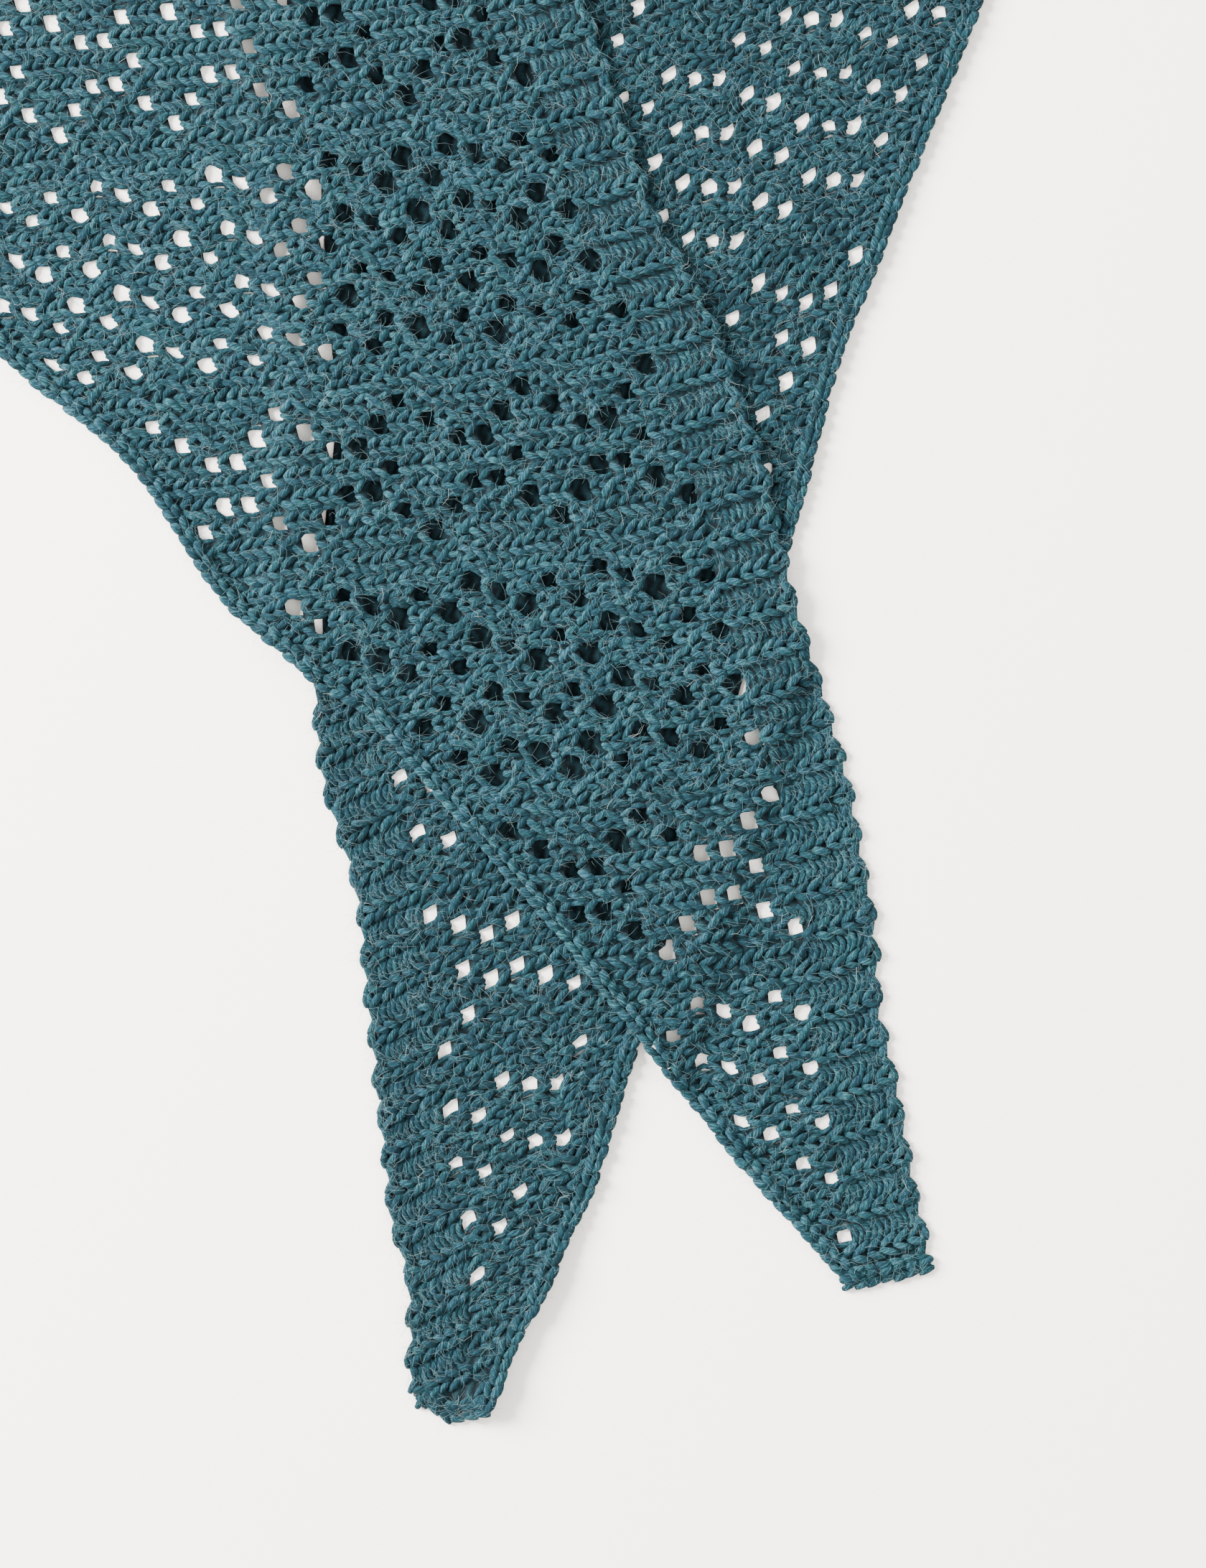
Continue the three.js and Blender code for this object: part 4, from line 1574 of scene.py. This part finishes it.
    def rope(self, paths: YarnPaths) -> None:
        """Lays the raised selvedge along the outer edge, and closes the tip.

        Args:
            paths: Where the yarn is added.
        """
        tail = self.tail
        gone = np.arange(self.edge_clear, tail.outer.length, ROPE_BRAID.pitch)
        middle = np.full(len(gone), self.rope_inset)
        keep = self.chosen((gone, middle), tail.outer_spot)
        keep &= row_key(tail.outer_spot(gone, middle)) < self.edge_clear
        places = gone[keep], middle[keep]
        self.braid(paths, places, ROPE_BRAID, ROPE_BENDS, tail.outer_spot)
        if self.detail is Detail.FINE:
            for edge in tail.tip:
                self.bind_tip(paths, edge)

    def bind_tip(self, paths: YarnPaths, edge: Edge) -> None:
        """Lays short rows of yarn that close one side of the blunt tip.

        Args:
            paths: Where the yarn is added.
            edge: That side of the tip.
        """

        def spot(gone: np.ndarray, inset: np.ndarray) -> np.ndarray:
            """Plan points counted along this side of the tip and in from it."""
            return edge.at(gone, -inset)

        gone = np.arange(1.5, edge.length - 1.0, TIP_BRAID.pitch)
        for inset, bend in TIP_ROWS:
            bends = {side: bend for side in SIDES}
            self.braid(paths, (gone, np.full(len(gone), inset)), TIP_BRAID, bends, spot)


@dataclass(frozen=True)
class Fuzz:
    """Loose fibres that stand off the yarn."""

    count: int
    length: tuple[float, float] = (2.5, 7.0)
    radius: float = 0.05
    taper: float = 0.5
    spread: float = 0.9
    curl: float = 1.3
    stray: float = 0.8
    rise: tuple[float, float] = (0.5, 1.6)
    rise_power: float = 0.8
    above: float = 1.2
    lowest: float = 0.15
    seed: int = 31

    def hairs(self, yarn: YarnPaths, steps: int) -> YarnPaths:
        """Grows curved fibres from random points of the yarn.

        Args:
            yarn: The yarn that carries them.
            steps: Points along a fibre.

        Returns:
            The fibres.
        """
        random = np.random.default_rng(self.seed)
        blocks = [block[:, 1:-1] for block in yarn.points]
        roots = np.concatenate([block.reshape(-1, 3) for block in blocks])
        courses = np.concatenate([
            (block[:, -1:] - block[:, :1]).repeat(inner.shape[1], axis=1).reshape(-1, 3)
            for block, inner in zip(yarn.points, blocks)
        ])
        picked = random.integers(0, len(roots), self.count)
        roots, courses = roots[picked], courses[picked]
        along = np.arctan2(courses[:, 1], courses[:, 0])
        heading = along + random.normal(0.0, self.spread, self.count)
        curl = random.normal(0.0, self.curl, self.count)
        length = random.uniform(*self.length, self.count)
        share = np.linspace(0.0, 1.0, steps)
        angle = heading[:, None] + curl[:, None] * share
        step = (length / (steps - 1))[:, None, None]
        run = np.stack([np.cos(angle), np.sin(angle)], axis=2) * step
        run[:, 0] = 0.0
        beside = random.normal(0.0, self.stray, (self.count, 1, 2))
        plan = roots[:, None, :2] + beside + run.cumsum(axis=1)
        arch = np.sin(math.pi * share**self.rise_power)
        rise = random.uniform(*self.rise, (self.count, 1)) * arch
        height = np.maximum(roots[:, 2:] + self.above + rise, self.lowest)
        hairs = YarnPaths()
        solid = np.concatenate([plan, height[..., None]], axis=2)
        thin = self.radius * (1.0 - self.taper * share)[None, :].repeat(self.count, axis=0)
        hairs.add(solid, thin, random.random(self.count))
        return hairs


@dataclass
class Back:
    """The back of the triangle, wrong side up under the two tails."""

    fold_inset: float = 8.5
    top: float = 415.0
    over_reach: float = -284.0
    under_reach: float = 286.0
    cell: tuple[float, float] = (7.5, 4.6)
    heights: tuple[float, float] = (0.2, 1.7)
    ridge: float = 0.25
    inset: float = 0.5

    def corners(self) -> np.ndarray:
        """Finds the corners of the back, just inside the two folds.

        Returns:
            Plan points in order.
        """
        found = []
        for start, turn, sign, reach in (
            (MID_NECK, OVER_TURN, 1.0, self.over_reach),
            (UNDER_START, UNDER_TURN, -1.0, self.under_reach),
        ):
            fold = (turn - start) / np.linalg.norm(turn - start)
            inner = start + np.array([-fold[1], fold[0]]) * sign * self.fold_inset
            high = inner + fold * (self.top - inner[1]) / fold[1]
            wide = inner + fold * (reach - inner[0]) / fold[0]
            side = turn - BACK_POINT
            low = BACK_POINT + side * (reach - BACK_POINT[0]) / side[0]
            found.append([high, wide, low])
        return np.array([*found[0], BACK_POINT, *found[1][::-1]])

    def cloth(self, material: bpy.types.Material) -> bpy.types.Object:
        """Makes the back as a closed wall of stitches and rows.

        Args:
            material: The cloth's finish.

        Returns:
            The back.
        """
        outline = self.corners()
        low, high = outline.min(axis=0), outline.max(axis=0)
        counts = np.ceil((high - low) / self.cell).astype(int)
        across, up = np.meshgrid(np.arange(counts[0] + 1), np.arange(counts[1] + 1))
        chart = np.stack([across.ravel(), up.ravel()], axis=1).astype(float)
        points = low + chart * self.cell
        row, column = np.divmod(np.arange(counts[0] * counts[1]), counts[0])
        width = counts[0] + 1
        corner = row * width + column
        faces = np.stack([corner, corner + 1, corner + width + 1, corner + width], axis=1)
        keep = outline_distance(points[faces].mean(axis=1), outline)[0] < 0.0
        points = inside_outline(points, outline, np.full(len(points), self.inset))
        ridge = self.ridge * np.cos(math.tau * chart[:, 0] / 2.0)
        bottom = np.full(len(points), self.heights[0])
        top = self.heights[1] + ridge
        return wall_piece("back_cloth", points, (bottom, top), faces[keep], chart, material)


@dataclass(frozen=True)
class Cut:
    """The size that a stretch of the shawl was knitted to, in metres."""

    flat: tuple[float, float]
    area: float


class Dresser:
    """Makes every piece of the shawl, reports it, and hides the solid that each cloth stands for.
    """

    most_fine: int = 3400
    most_plain: int = 9000
    cuts: dict[Layer, Cut] = {
        Layer.BACK: Cut((0.6, 0.42), 0.15),
        Layer.UNDER: Cut((0.95, 0.36), 0.145),
        Layer.OVER: Cut((0.98, 0.42), 0.183),
    }

    def __init__(self) -> None:
        """Makes the finishes and the two ways to spin yarn and fibres."""
        # The cloths' material, dark with painted shade.
        self.shaded_backing = ShadedBackingFinish("wool_backing").material()
        self.yarn = Spinner(WoolFinish("wool_yarn").material())
        self.fibre = Spinner(FibreFinish("wool_fibre").material())

    def own(self, piece: bpy.types.Object) -> bpy.types.Object:
        """Reports a piece and gives it its body.

        Args:
            piece: The piece.

        Returns:
            The same piece.
        """
        piece.data.calc_loop_triangles()
        LOG.info("%s: %d triangles", piece.name, len(piece.data.loop_triangles))
        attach(piece, "root")
        return piece

    def declare(
        self,
        cloth: bpy.types.Object,
        layer: Layer,
    ) -> None:
        """Hides the solid that a cloth stands for.

        Args:
            cloth: The cloth; not used.
            layer: Which stretch of the shawl it is.
        """
        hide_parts(layer.value)

    def dress(self, tail: Tail, fuzz: Fuzz) -> None:
        """Makes one tail: its cloth, all its yarn and its loose fibres.

        Args:
            tail: The tail.
            fuzz: How its loose fibres grow.
        """
        cloth = self.own(tail.cloth(self.shaded_backing))
        for detail, most in ((Detail.FINE, self.most_fine), (Detail.PLAIN, self.most_plain)):
            paths = YarnPaths()
            knitter = Knitter(tail, detail)
            knitter.lace(paths)
            knitter.border(paths)
            knitter.rope(paths)
            for number, part in enumerate(paths.parts(most), 1):
                name = f"{tail.layer.value}_yarn_{detail.name.lower()}_{number}"
                self.own(self.yarn.spin(part, name, detail.sides))
            if detail is Detail.FINE:
                hairs = fuzz.hairs(paths, Detail.HAIR.steps)
                name = f"{tail.layer.value}_fibres"
                self.own(self.fibre.spin(hairs, name, Detail.HAIR.sides))
        self.declare(cloth, tail.layer)


def main() -> None:
    """Builds the shawl and the studio in order."""
    logging.basicConfig(level=logging.INFO, format="%(name)s: %(message)s")
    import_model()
    studio = Studio()
    studio.camera()
    studio.floor()
    studio.lamp("window", (-2.05, 0.8, 1.25), size=1.2, power=560.0)
    studio.lamp("fill", (1.2, -0.6, 1.6), size=2.0, power=40.0)
    studio.world()
    dresser = Dresser()
    back = dresser.own(Back().cloth(dresser.shaded_backing))
    dresser.declare(back, Layer.BACK)
    # The under tail's tone of -0.3 is painted shade that draws its yarn darker.
    under = Tail(
        Layer.UNDER, UNDER_NECK, UNDER_OUTER, UNDER_WALE, UNDER_OUTLINE,
        fold=(UNDER_START, UNDER_TURN), seed=12, tip=UNDER_ENDS, cover=OVER_OUTLINE, tone=-0.3,
    )
    dresser.dress(under, Fuzz(6000, seed=32))
    over = Tail(
        Layer.OVER, OVER_NECK, OVER_OUTER, OVER_WALE, OVER_OUTLINE,
        fold=(MID_NECK, OVER_TURN), seed=11, tip=OVER_END,
    )
    dresser.dress(over, Fuzz(11500, seed=31))


if __name__ == "__main__":
    main()
